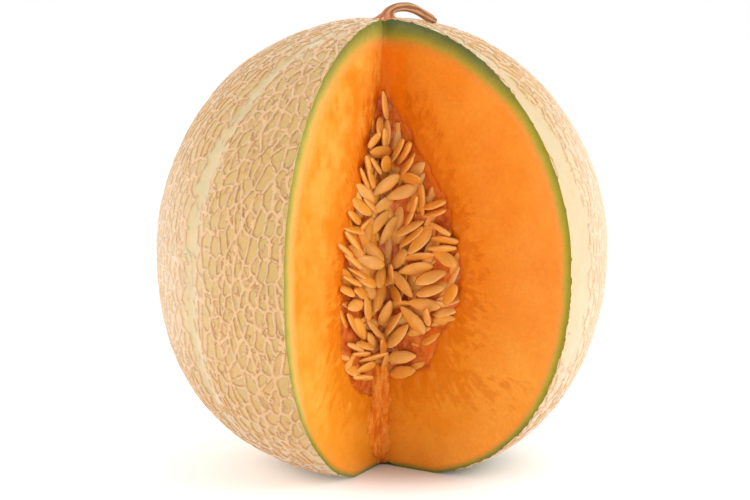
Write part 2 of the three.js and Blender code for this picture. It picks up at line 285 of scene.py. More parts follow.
@dataclass
class MaterialSheet:
    """A material and short ways to add nodes to it."""

    name: str
    roughness: float = 0.5
    material: bpy.types.Material = field(init=False)
    shader: bpy.types.ShaderNode = field(init=False)

    def __post_init__(self) -> None:
        """Makes the material with its usual shader."""
        self.material = bpy.data.materials.new(self.name)
        self.material.use_nodes = True
        self.shader = self.material.node_tree.nodes["Principled BSDF"]
        self.set("Roughness", self.roughness)

    def set(self, socket: str, value: object) -> None:
        """Sets a number or colour that is the same all over."""
        self.shader.inputs[socket].default_value = value

    def moisten(self, moist: Moist) -> None:
        """Lets light spread under the surface."""
        self.set("Subsurface Weight", moist.share)
        self.set("Subsurface Radius", moist.reach)
        self.set("Subsurface Scale", moist.scale * METRES)

    def feed(self, socket: str, source: bpy.types.NodeSocket) -> None:
        """Joins a node's output to the shader."""
        self.material.node_tree.links.new(source, self.shader.inputs[socket])

    def node(self, kind: str, inputs: dict, **settings: object) -> bpy.types.ShaderNode:
        """Adds a node.

        Args:
            kind: The node's type name, without its usual beginning.
            inputs: What each input holds: a socket to join, or a plain value.
            **settings: The node's own choices.

        Returns:
            The node.
        """
        made = self.material.node_tree.nodes.new("ShaderNode" + kind)
        for name, value in settings.items():
            setattr(made, name, value)
        for name, value in inputs.items():
            if isinstance(value, bpy.types.NodeSocket):
                self.material.node_tree.links.new(value, made.inputs[name])
            else:
                made.inputs[name].default_value = value
        return made

    def attribute(self, name: str) -> bpy.types.NodeSocket:
        """A number that the mesh keeps on its points."""
        return self.node("Attribute", {}, attribute_name=name).outputs["Fac"]

    def place(self) -> bpy.types.NodeSocket:
        """Where the surface is, in metres in the part's frame."""
        return self.node("TexCoord", {}).outputs["Object"]

    def level(self, axis: str) -> bpy.types.NodeSocket:
        """Where the surface is along one axis of the part's frame, in metres."""
        return self.node("SeparateXYZ", {0: self.place()}).outputs[axis]

    def squeezed(self, place: bpy.types.NodeSocket, factors: tuple) -> bpy.types.NodeSocket:
        """Coordinates times a factor along each axis, which stretches a pattern where it is small."""
        return self.node("VectorMath", {0: place, 1: factors}, operation="MULTIPLY").outputs[0]

    def noise(
        self, pattern: Pattern, place: bpy.types.NodeSocket | None = None
    ) -> bpy.types.NodeSocket:
        """A noise pattern.

        Args:
            pattern: Its size and how it is read.
            place: Coordinates to read it at, in place of the surface's own.

        Returns:
            The pattern's output.
        """
        inputs = {
            "Vector": place or self.place(),
            "Scale": 1.0 / (pattern.size if place else pattern.size * METRES),
            "Detail": pattern.detail,
            "Roughness": pattern.roughness,
        }
        value = self.node("TexNoise", inputs).outputs[0]
        return self.rise(value, pattern.rise) if pattern.rise else value

    def uneven(self, pattern: Pattern, amount: float) -> bpy.types.NodeSocket:
        """A noise pattern about 0, as wide as amount."""
        return self.maths("MULTIPLY", self.maths("SUBTRACT", self.noise(pattern), 0.5), amount)

    def joined(self, first: object, second: object, third: object = 0.0) -> bpy.types.NodeSocket:
        """Coordinates from three numbers or outputs."""
        return self.node("CombineXYZ", {0: first, 1: second, 2: third}).outputs[0]

    def maths(self, operation: str, first: object, second: object = 0.0) -> bpy.types.NodeSocket:
        """The result of a sum on two numbers or outputs."""
        return self.node("Math", {0: first, 1: second}, operation=operation).outputs[0]

    def rise(self, value: object, change: Rise) -> bpy.types.NodeSocket:
        """A smooth change that follows a value."""
        inputs = {0: value, 1: change.low, 2: change.high, 3: change.start, 4: change.end}
        return self.node("MapRange", inputs, interpolation_type="SMOOTHSTEP").outputs[0]

    def ramp(self, value: object, stops: dict[float, Shade]) -> bpy.types.NodeSocket:
        """A colour for each value from 0 to 1.

        Args:
            value: The output that picks the colour.
            stops: Colours by value.

        Returns:
            The colour's output.
        """
        made = self.node("ValToRGB", {0: value})
        elements = made.color_ramp.elements
        while len(elements) < len(stops):
            elements.new(0.5)
        for element, (position, shade) in zip(elements, sorted(stops.items())):
            element.position = position
            element.color = shade.linear()
        return made.outputs[0]

    def mix(
        self, share: object, first: object, second: object, blend: str = "MIX"
    ) -> bpy.types.NodeSocket:
        """A colour between two, each a shade or an output."""
        inputs = {MIX_SHARE: share}
        for place, colour in ((MIX_FIRST, first), (MIX_SECOND, second)):
            inputs[place] = colour.linear() if isinstance(colour, Shade) else colour
        made = self.node("Mix", inputs, data_type="RGBA", blend_type=blend)
        return made.outputs[MIX_COLOUR]

    def mottled(self, colour: object, pattern: Pattern) -> bpy.types.NodeSocket:
        """A colour made lighter and darker by a pattern."""
        level = self.noise(pattern)
        return self.mix(1.0, colour, self.joined(level, level, level), "MULTIPLY")

    def bump(self, height: object, depth: float, strength: float) -> None:
        """Raises the surface by a pattern, to a depth in millimetres."""
        inputs = {"Height": height, "Distance": depth * METRES, "Strength": strength}
        self.feed("Normal", self.node("Bump", inputs).outputs[0])


@dataclass(frozen=True)
class RindFinish:
    """Corky raised net over a khaki skin, with smooth pale bands between the ribs."""

    net: Shade = Shade(230, 187, 130)
    net_pink: Shade = Shade(224, 177, 125)
    net_flank_shade: Shade = Shade(184, 135, 78)
    floor: Shade = Shade(212, 171, 100)
    floor_green: Shade = Shade(204, 171, 104)
    floor_brown: Shade = Shade(204, 157, 90)
    band: Shade = Shade(221, 197, 150)
    band_green: Shade = Shade(207, 195, 150)
    band_shade_right: Shade = Shade(200, 178, 138)
    painted_glare: Shade = Shade(236, 212, 184)
    underside_shade: Shade = Shade(243, 238, 226)
    scar: Shade = Shade(176, 134, 88)
    roughness: float = 0.62
    line_edges: Pattern = Pattern(0.8, 2.0)
    line_raggedness: float = 0.3
    floor_tint: Pattern = Pattern(9.0, 3.0, Rise(0.35, 0.65))
    brown_spots: Pattern = Pattern(3.5, 3.0, Rise(0.5, 0.75))
    cork_tint: Pattern = Pattern(2.2, 4.0)
    flank_shade_shown: Pattern = Pattern(2.8, 2.0, Rise(0.3, 0.65, 0.3, 1.0))
    past_cork: Rise = Rise(0.2, 0.46)
    past_flank_shade: Rise = Rise(0.46, 0.85)
    band_tint: Pattern = Pattern(6.0, 4.0, Rise(0.35, 0.65))
    band_shade_rightward: Rise = Rise(0.03, 0.06, 0.0, 0.8)
    band_share: float = 0.75
    glare_right: Rise = Rise(0.035, 0.066, 0.0, 0.55)
    glare_left: Rise = Rise(-0.064, -0.083, 0.0, 0.5)
    glare_off_band: Rise = Rise(0.0, 1.0, 1.0, 0.2)
    painted_shading_below: Rise = Rise(0.06, 0.02)
    speckle: Pattern = Pattern(0.5, 2.0, Rise(0.2, 0.8, 0.94, 1.04))
    grain: Pattern = Pattern(0.45, 3.0)
    grain_share: float = 0.35
    line_relief: Rise = Rise(0.6, 0.2)
    relief: tuple[float, float] = (0.25, 0.8)
    band_roughness: Rise = Rise(0.0, 1.0, 0.68, 0.45)
    sheen: float = 1.0
    sheen_roughness: float = 0.4

    def netted(self, sheet: MaterialSheet, distance: bpy.types.NodeSocket) -> bpy.types.NodeSocket:
        """The colour of cork, of painted shade along its flanks and of the skin between, by distance from
        a line.
        """
        ground = sheet.mix(sheet.noise(self.floor_tint), self.floor, self.floor_green)
        ground = sheet.mix(sheet.noise(self.brown_spots), ground, self.floor_brown)
        cork = sheet.mix(sheet.noise(self.cork_tint), self.net, self.net_pink)
        # Painted shade: a darker band along the flanks of each raised line, shown in patches.
        shown = sheet.noise(self.flank_shade_shown)
        outline = sheet.maths("MULTIPLY", sheet.rise(distance, self.past_cork), shown)
        skin = sheet.mix(outline, cork, self.net_flank_shade)
        return sheet.mix(sheet.rise(distance, self.past_flank_shade), skin, ground)

    def banded(self, sheet: MaterialSheet, skin: bpy.types.NodeSocket) -> bpy.types.NodeSocket:
        """The skin's colour with its pale bands, and painted light that pales it to the right and at the
        left edge.
        """
        band = sheet.mix(sheet.noise(self.band_tint), self.band, self.band_green)
        # Painted shade: the bands darken towards +X.
        band = sheet.mix(sheet.rise(sheet.level("X"), self.band_shade_rightward), band, self.band_shade_right)
        skin = sheet.mix(sheet.maths("MULTIPLY", sheet.attribute("band"), self.band_share), skin, band)
        # Painted light: the skin is paled towards +X and at the far left edge, less on the bands.
        right = sheet.rise(sheet.level("X"), self.glare_right)
        left = sheet.rise(sheet.level("X"), self.glare_left)
        plain = sheet.rise(sheet.attribute("band"), self.glare_off_band)
        glare = sheet.maths("MULTIPLY", sheet.maths("ADD", right, left), plain)
        return sheet.mix(glare, skin, self.painted_glare)

    def make(self) -> bpy.types.Material:
        """Makes the material."""
        sheet = MaterialSheet("rind", self.roughness)
        ragged = sheet.uneven(self.line_edges, self.line_raggedness)
        distance = sheet.maths("ADD", sheet.attribute("net"), ragged)
        skin = self.banded(sheet, self.netted(sheet, distance))
        # Painted shade: the rind is darkened towards the floor.
        skin = sheet.mix(sheet.rise(sheet.level("Z"), self.painted_shading_below), skin, self.underside_shade, "MULTIPLY")
        skin = sheet.mix(sheet.attribute("scar"), skin, self.scar)
        sheet.feed("Base Color", sheet.mottled(skin, self.speckle))
        grain = sheet.maths("MULTIPLY", sheet.noise(self.grain), self.grain_share)
        sheet.bump(sheet.maths("ADD", sheet.rise(distance, self.line_relief), grain), *self.relief)
        sheet.feed("Roughness", sheet.rise(sheet.attribute("band"), self.band_roughness))
        sheet.set("Sheen Weight", self.sheen)
        sheet.set("Sheen Roughness", self.sheen_roughness)
        return sheet.material


@dataclass(frozen=True)
class FleshFinish:
    """Moist orange flesh, green and yellow under the rind and wet and darker at the hollow."""

    crown_rim: tuple[Shade, ...] = (
        Shade(84, 94, 44),
        Shade(124, 124, 44),
        Shade(170, 146, 42),
        Shade(220, 134, 40),
    )
    right_rim: tuple[Shade, ...] = (
        Shade(140, 130, 14),
        Shade(162, 150, 26),
        Shade(196, 156, 44),
        Shade(234, 146, 52),
    )
    left_rim: tuple[Shade, ...] = (
        Shade(146, 146, 62),
        Shade(186, 170, 78),
        Shade(228, 174, 88),
        Shade(250, 168, 84),
    )
    rim_steps: tuple[float, ...] = (0.08, 0.36, 0.66, 0.95)
    orange: Shade = Shade(236, 135, 24)
    pale: Shade = Shade(240, 145, 36)
    lit_blotch: Shade = Shade(254, 174, 74)
    deep: Shade = Shade(234, 133, 20)
    core: Shade = Shade(222, 116, 4)
    strip: Shade = Shade(242, 126, 0)
    edge: Shade = Shade(206, 100, 30)
    wall: Shade = Shade(200, 98, 44)
    wall_pale: Shade = Shade(228, 132, 70)
    bounce_light_gain: tuple[float, float, float] = (1.03, 1.26, 1.6)
    roughness: float = 0.4
    rim_waves: Pattern = Pattern(5.0, 4.0)
    rim_unevenness: float = 0.3
    past_rim: Rise = Rise(0.85, 1.5)
    blotches: Pattern = Pattern(14.0, 5.0, Rise(0.36, 0.64), 0.62)
    fewer_below: Rise = Rise(0.05, 0.13, 0.4, 1.0)
    lit_leftward: Rise = Rise(1.0, 0.0, 0.0, 0.8)
    fingers: Pattern = Pattern(1.5, 4.0, Rise(0.34, 0.68), 0.65)
    finger_squeeze: tuple[float, float, float] = (0.3, 1.0, 1.0)
    least_finger: float = 0.4
    clouds: Pattern = Pattern(5.0, 5.0, None, 0.66)
    cloudy_stain: Rise = Rise(0.3, 0.7, 4.5, -4.5)
    cloudy_strip_shade: Rise = Rise(0.2, 0.6, 0.8, 1.0)
    cloudy_edge: Rise = Rise(0.3, 0.7, 1.2, -1.2)
    deep_within: Rise = Rise(12.0, -3.0, 0.0, 0.85)
    wet_within: Rise = Rise(2.5, -3.0, 0.0, 0.9)
    drier_below: Rise = Rise(0.02, 0.05, 0.6, 1.0)
    edge_within: Rise = Rise(2.4, 0.0, 0.0, 0.7)
    painted_shading_below: Rise = Rise(0.075, 0.025)
    fibres: Pattern = Pattern(1.6 * METRES, 4.0)
    fibre_squeeze: tuple[float, float, float] = (1.0, 1.0, 0.3)
    grain: Pattern = Pattern(1.3, 4.0, Rise(0.25, 0.75, 0.94, 1.05), 0.65)
    bumps: Pattern = Pattern(0.8, 3.0)
    bump_share: float = 0.6
    relief: tuple[float, float] = (0.25, 0.5)
    gloss: float = 0.3
    moist: Moist = Moist(0.15, (1.0, 0.35, 0.1), 4.0)

    def rim(self, sheet: MaterialSheet) -> bpy.types.NodeSocket:
        """The green under the rind: dark at the crown, olive on the right and pale on the left."""
        uneven = sheet.uneven(self.rim_waves, self.rim_unevenness)
        depth = sheet.maths("ADD", sheet.attribute("depth"), uneven)
        crown, right, left = (
            sheet.ramp(depth, dict(zip(self.rim_steps, shades)))
            for shades in (self.crown_rim, self.right_rim, self.left_rim)
        )
        side = sheet.mix(sheet.attribute("side"), left, right)
        return sheet.mix(sheet.attribute("crown"), side, crown)

    def blotched(self, sheet: MaterialSheet) -> bpy.types.NodeSocket:
        """Orange flesh in soft blotches, with painted light making those on the left face yellower."""
        blotches = sheet.noise(self.blotches)
        colour = sheet.mix(blotches, self.orange, self.pale)
        # Painted light: yellower blotches on the left face only, fewer towards the floor.
        blotches = sheet.maths("MULTIPLY", blotches, sheet.rise(sheet.level("Z"), self.fewer_below))
        lit_blotch = sheet.maths("MULTIPLY", sheet.rise(sheet.attribute("side"), self.lit_leftward), blotches)
        return sheet.mix(lit_blotch, colour, self.lit_blotch)

    def stained(self, sheet: MaterialSheet, colour: bpy.types.NodeSocket) -> bpy.types.NodeSocket:
        """The flesh's colour with wet fingers round the hollow and a darker edge to it."""
        place = sheet.joined(sheet.attribute("core"), sheet.attribute("around"))
        fingers = sheet.noise(self.fingers, sheet.squeezed(place, self.finger_squeeze))
        clouds = sheet.noise(self.clouds)
        reach = sheet.maths("ADD", fingers, self.least_finger)
        reach = sheet.maths("MULTIPLY", sheet.attribute("wet"), reach)
        past = sheet.maths("SUBTRACT", sheet.attribute("core"), reach)
        past = sheet.maths("ADD", past, sheet.rise(clouds, self.cloudy_stain))
        colour = sheet.mix(sheet.rise(past, self.deep_within), colour, self.deep)
        low = sheet.rise(sheet.level("Z"), self.drier_below)
        wet = sheet.maths("MULTIPLY", sheet.rise(past, self.wet_within), low)
        colour = sheet.mix(wet, colour, self.core)
        # Painted shade: a deeper orange on the narrow face in the corner between the cuts.
        strip = sheet.maths("MULTIPLY", sheet.attribute("strip"), sheet.rise(clouds, self.cloudy_strip_shade))
        colour = sheet.mix(strip, colour, self.strip)
        past = sheet.maths("ADD", sheet.attribute("core"), sheet.rise(clouds, self.cloudy_edge))
        return sheet.mix(sheet.rise(past, self.edge_within), colour, self.edge)

    def make(self) -> bpy.types.Material:
        """Makes the material."""
        sheet = MaterialSheet("flesh", self.roughness)
        inside = self.stained(sheet, self.blotched(sheet))
        # Painted light: the flesh is made yellower towards the floor, standing in for light bounced up
        # from it.
        bounce_light = sheet.joined(*self.bounce_light_gain)
        inside = sheet.mix(sheet.rise(sheet.level("Z"), self.painted_shading_below), inside, bounce_light, "MULTIPLY")
        colour = sheet.mix(sheet.rise(sheet.attribute("depth"), self.past_rim), self.rim(sheet), inside)
        fibres = sheet.noise(self.fibres, sheet.squeezed(sheet.place(), self.fibre_squeeze))
        colour = sheet.mix(sheet.attribute("wall"), colour, sheet.mix(fibres, self.wall, self.wall_pale))
        sheet.feed("Base Color", sheet.mottled(colour, self.grain))
        sheet.bump(sheet.maths("MULTIPLY", sheet.noise(self.bumps), self.bump_share), *self.relief)
        sheet.set("Specular IOR Level", self.gloss)
        sheet.moisten(self.moist)
        return sheet.material


@dataclass(frozen=True)
class SeedFinish:
    """Smooth wet seed coats, tan with paler margins."""

    face: Shade = Shade(244, 177, 78)
    face_dark: Shade = Shade(236, 160, 52)
    face_pale: Shade = Shade(248, 188, 100)
    margin: Shade = Shade(248, 188, 110)
    roughness: float = 0.34
    darker_half: Rise = Rise(0.0, 0.5)
    paler_half: Rise = Rise(0.5, 1.0)
    at_margin: Rise = Rise(0.55, 1.0, 0.0, 0.75)
    blotches: Pattern = Pattern(4.0, 3.0, Rise(0.3, 0.7, 0.92, 1.06))
    bumps: Pattern = Pattern(0.7, 3.0)
    relief: tuple[float, float] = (0.08, 0.5)
    moist: Moist = Moist(0.12, (1.0, 0.45, 0.15), 1.5)

    def make(self) -> bpy.types.Material:
        """Makes the material."""
        sheet = MaterialSheet("seed", self.roughness)
        tone = sheet.attribute("tone")
        face = sheet.mix(sheet.rise(tone, self.darker_half), self.face_dark, self.face)
        face = sheet.mix(sheet.rise(tone, self.paler_half), face, self.face_pale)
        colour = sheet.mix(sheet.rise(sheet.attribute("margin"), self.at_margin), face, self.margin)
        sheet.feed("Base Color", sheet.mottled(colour, self.blotches))
        sheet.bump(sheet.noise(self.bumps), *self.relief)
        sheet.moisten(self.moist)
        return sheet.material


@dataclass(frozen=True)
class PulpFinish:
    """Wet stringy pulp, orange to brown, the browns partly painted shade of the recess."""

    dark: Shade = Shade(178, 82, 30)
    mid: Shade = Shade(212, 110, 40)
    pale: Shade = Shade(234, 144, 72)
    edge: Shade = Shade(228, 114, 10)
    roughness: float = 0.26
    lumps: Pattern = Pattern(2.6, 4.0)
    lump_steps: tuple[float, float, float] = (0.3, 0.5, 0.72)
    edge_waves: Pattern = Pattern(3.5, 4.0, Rise(0.3, 0.7, -0.3, 0.3))
    at_edge: Rise = Rise(0.2, 0.9)
    bumps: Pattern = Pattern(1.2, 3.0)
    relief: tuple[float, float] = (0.3, 0.6)
    moist: Moist = Moist(0.15, (1.0, 0.35, 0.1), 2.0)

    def make(self) -> bpy.types.Material:
        """Makes the material."""
        sheet = MaterialSheet("pulp", self.roughness)
        shades = dict(zip(self.lump_steps, (self.dark, self.mid, self.pale)))
        # Partly painted shade: the dark and middle browns stand in part for shade in the recess behind
        # the seeds.
        colour = sheet.ramp(sheet.noise(self.lumps), shades)
        edge = sheet.maths("ADD", sheet.attribute("edge"), sheet.noise(self.edge_waves))
        sheet.feed("Base Color", sheet.mix(sheet.rise(edge, self.at_edge), colour, self.edge))
        sheet.bump(sheet.noise(self.bumps), *self.relief)
        sheet.moisten(self.moist)
        return sheet.material


@dataclass(frozen=True)
class TornFleshFinish:
    """Soft torn flesh, with a painted highlight that makes it pale orange on its high places."""

    low: Shade = Shade(234, 124, 10)
    high: Shade = Shade(250, 158, 60)
    roughness: float = 0.34
    waves: Pattern = Pattern(1.5, 4.0, Rise(0.2, 0.8, -0.3, 0.3))
    painted_relief_shading: Rise = Rise(0.15, 0.9)
    bumps: Pattern = Pattern(0.9, 3.0)
    relief: tuple[float, float] = (0.3, 0.5)
    gloss: float = 0.12
    moist: Moist = Moist(0.2, (1.0, 0.35, 0.1), 3.0)

    def make(self) -> bpy.types.Material:
        """Makes the material."""
        sheet = MaterialSheet("torn_flesh", self.roughness)
        lift = sheet.maths("ADD", sheet.attribute("lift"), sheet.noise(self.waves))
        # Painted highlight: paler orange where the strings stand high.
        sheet.feed("Base Color", sheet.mix(sheet.rise(lift, self.painted_relief_shading), self.low, self.high))
        sheet.bump(sheet.noise(self.bumps), *self.relief)
        sheet.set("Specular IOR Level", self.gloss)
        sheet.moisten(self.moist)
        return sheet.material


@dataclass(frozen=True)
class StemFinish:
    """Dry ridged stalk, with painted shade brown in its furrows and painted highlight pale on its ridges,
    and redder at its foot.
    """

    furrow_shade: Shade = Shade(148, 88, 52)
    ridge: Shade = Shade(206, 156, 110)
    foot: Shade = Shade(200, 110, 68)
    torn: Shade = Shade(236, 190, 146)
    roughness: float = 0.72
    fibres: Pattern = Pattern(0.35, 3.0)
    fibre_squeeze: tuple[float, float, float] = (0.12, 1.0, 1.0)
    fibre_lift: Rise = Rise(0.25, 0.75, -0.4, 0.4)
    painted_relief_shading: Rise = Rise(0.0, 1.0)
    at_foot: Rise = Rise(7.0, 1.5, 0.0, 0.7)
    foot_waves: Pattern = Pattern(1.6, 3.0, Rise(0.3, 0.7, -1.4, 1.4))
    at_torn_edge: Rise = Rise(1.6, 0.6)
    relief: tuple[float, float] = (0.25, 0.7)

    def make(self) -> bpy.types.Material:
        """Makes the material."""
        sheet = MaterialSheet("stem", self.roughness)
        place = sheet.joined(sheet.attribute("along"), sheet.attribute("around"))
        fibres = sheet.noise(self.fibres, sheet.squeezed(place, self.fibre_squeeze))
        lift = sheet.maths("ADD", sheet.attribute("lift"), sheet.rise(fibres, self.fibre_lift))
        # Painted shade in the furrows and painted highlight on the ridges, by how high each place stands.
        colour = sheet.mix(sheet.rise(lift, self.painted_relief_shading), self.furrow_shade, self.ridge)
        colour = sheet.mix(sheet.rise(sheet.attribute("along"), self.at_foot), colour, self.foot)
        edge = sheet.maths("ADD", sheet.attribute("along"), sheet.noise(self.foot_waves))
        sheet.feed("Base Color", sheet.mix(sheet.rise(edge, self.at_torn_edge), colour, self.torn))
        sheet.bump(fibres, *self.relief)
        return sheet.material


@dataclass(frozen=True)
class FloorFinish:
    """Plain white floor, lit a little from below except under the melon."""

    colour: Shade = Shade(250, 249, 248)
    shaded: Shade = Shade(222, 240, 244)
    roughness: float = 0.9
    glow: float = 0.3
    dark: float = 0.02
    clear: float = 0.062
    middle: tuple[float, float, float] = (0.012, 0.0, 0.0)

    def make(self) -> bpy.types.Material:
        """Makes the material."""
        sheet = MaterialSheet("floor", self.roughness)
        sheet.set("Emission Color", self.colour.linear())
        arm = sheet.node("VectorMath", {0: sheet.place(), 1: self.middle}, operation="SUBTRACT")
        away = sheet.node("VectorMath", {0: arm.outputs[0]}, operation="LENGTH").outputs["Value"]
        clearing = sheet.rise(away, Rise(self.dark, self.clear))
        sheet.feed("Base Color", sheet.mix(clearing, self.shaded, self.colour))
        glow = sheet.rise(away, Rise(self.dark, self.clear, 0.0, self.glow))
        sheet.feed("Emission Strength", glow)
        return sheet.material


# Surfaces


@dataclass
class Surface:
    """A triangulated surface, in millimetres from the melon's axis.

    Attributes:
        points: One row for each point.
        faces: Three point numbers for each triangle.
        values: Named numbers, one for each point.
    """

    points: Points
    faces: np.ndarray
    values: dict[str, Numbers] = field(default_factory=dict)

    def split(self, distance: Numbers) -> "Surface":
        """Cuts every triangle that a plane crosses, so that its edges follow the plane.

        Args:
            distance: Distance of each point from the plane, positive on one side.

        Returns:
            The same surface with more triangles.
        """
        sides = (distance > 0.0)[self.faces]
        count = sides.sum(axis=1)
        crossed = (count == 1) | (count == 2)
        corners = sides[crossed]
        lone = np.argmax(corners == (count[crossed] == 1)[:, None], axis=1)
        order = (lone[:, None] + np.arange(3)) % 3
        tip, second, third = np.take_along_axis(self.faces[crossed], order, axis=1).T
        edges = np.sort(np.concatenate([np.stack([tip, second], 1), np.stack([tip, third], 1)]), axis=1)
        unique, where = np.unique(edges, axis=0, return_inverse=True)
        start, end = unique.T
        share = distance[start] / (distance[start] - distance[end])
        cut_second, cut_third = (len(self.points) + where.ravel()).reshape(2, -1)
        faces = [
            self.faces[~crossed],
            np.stack([tip, cut_second, cut_third], 1),
            np.stack([cut_second, second, third], 1),
            np.stack([cut_second, third, cut_third], 1),
        ]
        added = lerp(self.points[start], self.points[end], share[:, None])
        values = {
            name: np.concatenate([value, lerp(value[start], value[end], share)])
            for name, value in self.values.items()
        }
        return Surface(np.concatenate([self.points, added]), np.concatenate(faces), values)

    def keep(self, wanted: np.ndarray) -> "Surface":
        """The wanted triangles, without points that none of them uses."""
        faces = self.faces[wanted]
        used, numbers = np.unique(faces, return_inverse=True)
        values = {name: value[used] for name, value in self.values.items()}
        return Surface(self.points[used], numbers.reshape(-1, 3), values)

    def middles(self) -> Points:
        """The middle of each triangle."""
        return self.points[self.faces].mean(axis=1)

    def border(self) -> np.ndarray:
        """Pairs of point numbers along the edges that only one triangle has."""
        edges = np.concatenate([self.faces[:, [0, 1]], self.faces[:, [1, 2]], self.faces[:, [2, 0]]])
        size = len(self.points)
        forward = edges[:, 0] * size + edges[:, 1]
        backward = edges[:, 1] * size + edges[:, 0]
        return edges[~np.isin(forward, backward)]

    def normals(self) -> Points:
        """The direction that each point faces."""
        first, second, third = (self.points[self.faces[:, corner]] for corner in range(3))
        facing = np.cross(second - first, third - first)
        total = np.zeros_like(self.points)
        for corner in range(3):
            np.add.at(total, self.faces[:, corner], facing)
        return unit(total)

    def add(self, other: "Surface") -> "Surface":
        """Both surfaces as one, where a value that either lacks is 0."""
        values = {
            name: np.concatenate(
                [side.values.get(name, np.zeros(len(side.points))) for side in (self, other)]
            )
            for name in sorted(set(self.values) | set(other.values))
        }
        faces = np.concatenate([self.faces, other.faces + len(self.points)])
        return Surface(np.concatenate([self.points, other.points]), faces, values)

    def weld(self) -> "Surface":
        """Joins points that lie in the same place."""
        places = np.round(self.points / SAME_PLACE).astype(np.int64)
        _, first, numbers = np.unique(places, axis=0, return_index=True, return_inverse=True)
        faces = numbers.ravel()[self.faces]
        whole = (faces[:, 0] != faces[:, 1]) & (faces[:, 1] != faces[:, 2]) & (faces[:, 2] != faces[:, 0])
        values = {name: value[first] for name, value in self.values.items()}
        return Surface(self.points[first], faces[whole], values)

    def object(self, name: str, material: bpy.types.Material, slot: Slot) -> bpy.types.Object:
        """Makes the surface an object of the scene that goes with the melon.

        Args:
            name: The piece's name.
            material: Its material.
            slot: Not used.

        Returns:
            The object, in the frame's metres.
        """
        mesh = bpy.data.meshes.new(name)
        placed = (self.points + AXIS_IN_FRAME) * METRES
        mesh.from_pydata(placed.tolist(), [], self.faces.tolist())
        mesh.polygons.foreach_set("use_smooth", np.ones(len(self.faces), dtype=bool))
        for label, value in self.values.items():
            held = mesh.attributes.new(label, "FLOAT", "POINT").data
            held.foreach_set("value", value.astype(np.float32))
        mesh.materials.append(material)
        mesh.update()
        mesh.set_sharp_from_angle(angle=math.radians(SHARP_EDGE))
        made = bpy.data.objects.new(name, mesh)
        bpy.context.scene.collection.objects.link(made)
        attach(made, BODY)
        return made


def ball(subdivisions: int) -> Surface:
    """An even net of triangles on a ball of radius 1, from an icosahedron."""
    golden = (1.0 + math.sqrt(5.0)) / 2.0
    corners = [(-1, golden, 0), (1, golden, 0), (-1, -golden, 0), (1, -golden, 0)]
    corners += [(0, -1, golden), (0, 1, golden), (0, -1, -golden), (0, 1, -golden)]
    corners += [(golden, 0, -1), (golden, 0, 1), (-golden, 0, -1), (-golden, 0, 1)]
    points = unit(np.array(corners, dtype=float))
    gaps = np.linalg.norm(points[:, None] - points[None], axis=-1)
    near = (gaps > TINY) & (gaps < gaps[gaps > TINY].min() + ON_PLANE)
    faces = [
        (a, b, c)
        for a in range(len(points))
        for b in range(a + 1, len(points))
        for c in range(b + 1, len(points))
        if near[a, b] and near[b, c] and near[a, c]
    ]
    faces = np.array([f if np.linalg.det(points[list(f)]) > 0 else f[::-1] for f in faces])
    for _ in range(subdivisions):
        edges = np.sort(np.concatenate([faces[:, [0, 1]], faces[:, [1, 2]], faces[:, [2, 0]]]), axis=1)
        unique, where = np.unique(edges, axis=0, return_inverse=True)
        first, second, third = (len(points) + where.ravel()).reshape(3, -1)
        a, b, c = faces.T
        points = unit(np.concatenate([points, points[unique].sum(axis=1)]))
        faces = np.concatenate(
            [
                np.stack([a, first, third], 1),
                np.stack([first, b, second], 1),
                np.stack([third, second, c], 1),
                np.stack([first, second, third], 1),
            ]
        )
    return Surface(points, faces)


def ringed(rings: Points, values: dict[str, Numbers]) -> Surface:
    """A closed surface through rings of points, with each end drawn together in one point.

    Args:
        rings: Points by ring and place round it, turning to the left about the way they lead.
        values: Named numbers of the same layout.

    Returns:
        The surface, with its rings numbered in order and the two ends last.
    """
    count, columns = rings.shape[:2]
    ends = np.stack([rings[0].mean(axis=0), rings[-1].mean(axis=0)])
    points = np.concatenate([rings.reshape(-1, 3), ends])
    column = np.arange(columns)
    following = (column + 1) % columns
    faces = []
    for ring in range(count - 1):
        low, high = ring * columns, (ring + 1) * columns
        faces.append(np.stack([low + column, low + following, high + following], 1))
        faces.append(np.stack([low + column, high + following, high + column], 1))
    first, last = count * columns, count * columns + 1
    faces.append(np.stack([np.full(columns, first), following, column], 1))
    high = (count - 1) * columns
    faces.append(np.stack([np.full(columns, last), high + column, high + following], 1))
    held = {
        name: np.concatenate([value.ravel(), [value[0].mean(), value[-1].mean()]])
        for name, value in values.items()
    }
    return Surface(points, np.concatenate(faces), held)


# Form of the melon


@dataclass(frozen=True)
class Patch:
    """A rounded part of the melon that differs from the rest."""

    angle: float
    turn: float
    height: float
    tall: float
    amount: float

    def at(self, angle: Numbers, height: Numbers) -> Numbers:
        """Its amount there, from all of it at the middle to none away from it."""
        return self.amount * bell(turn_between(angle, self.angle), self.turn) * bell(
            height - self.height, self.tall
        )


@dataclass(frozen=True)
class CutPlane:
    """One flat cut.

    Attributes:
        point: A point on it.
        normal: The direction that the cut face looks in, into the gap.
        up: A direction in the plane, towards the crown.
    """

    point: Points
    normal: Points
    up: Points

    def distance(self, points: Points) -> Numbers:
        """Distance of points in front of the plane."""
        return (points - self.point) @ self.normal

    def side(self) -> Points:
        """The direction in the plane that makes a right-handed set with up and the normal."""
        return np.cross(self.up, self.normal)

    def flat(self, points: Points) -> Points:
        """Places of points in the plane."""
        return np.stack([(points - self.point) @ self.side(), (points - self.point) @ self.up], axis=-1)

    def lift(self, places: Points) -> Points:
        """Points at places in the plane."""
        return self.point + places[:, :1] * self.side() + places[:, 1:] * self.up


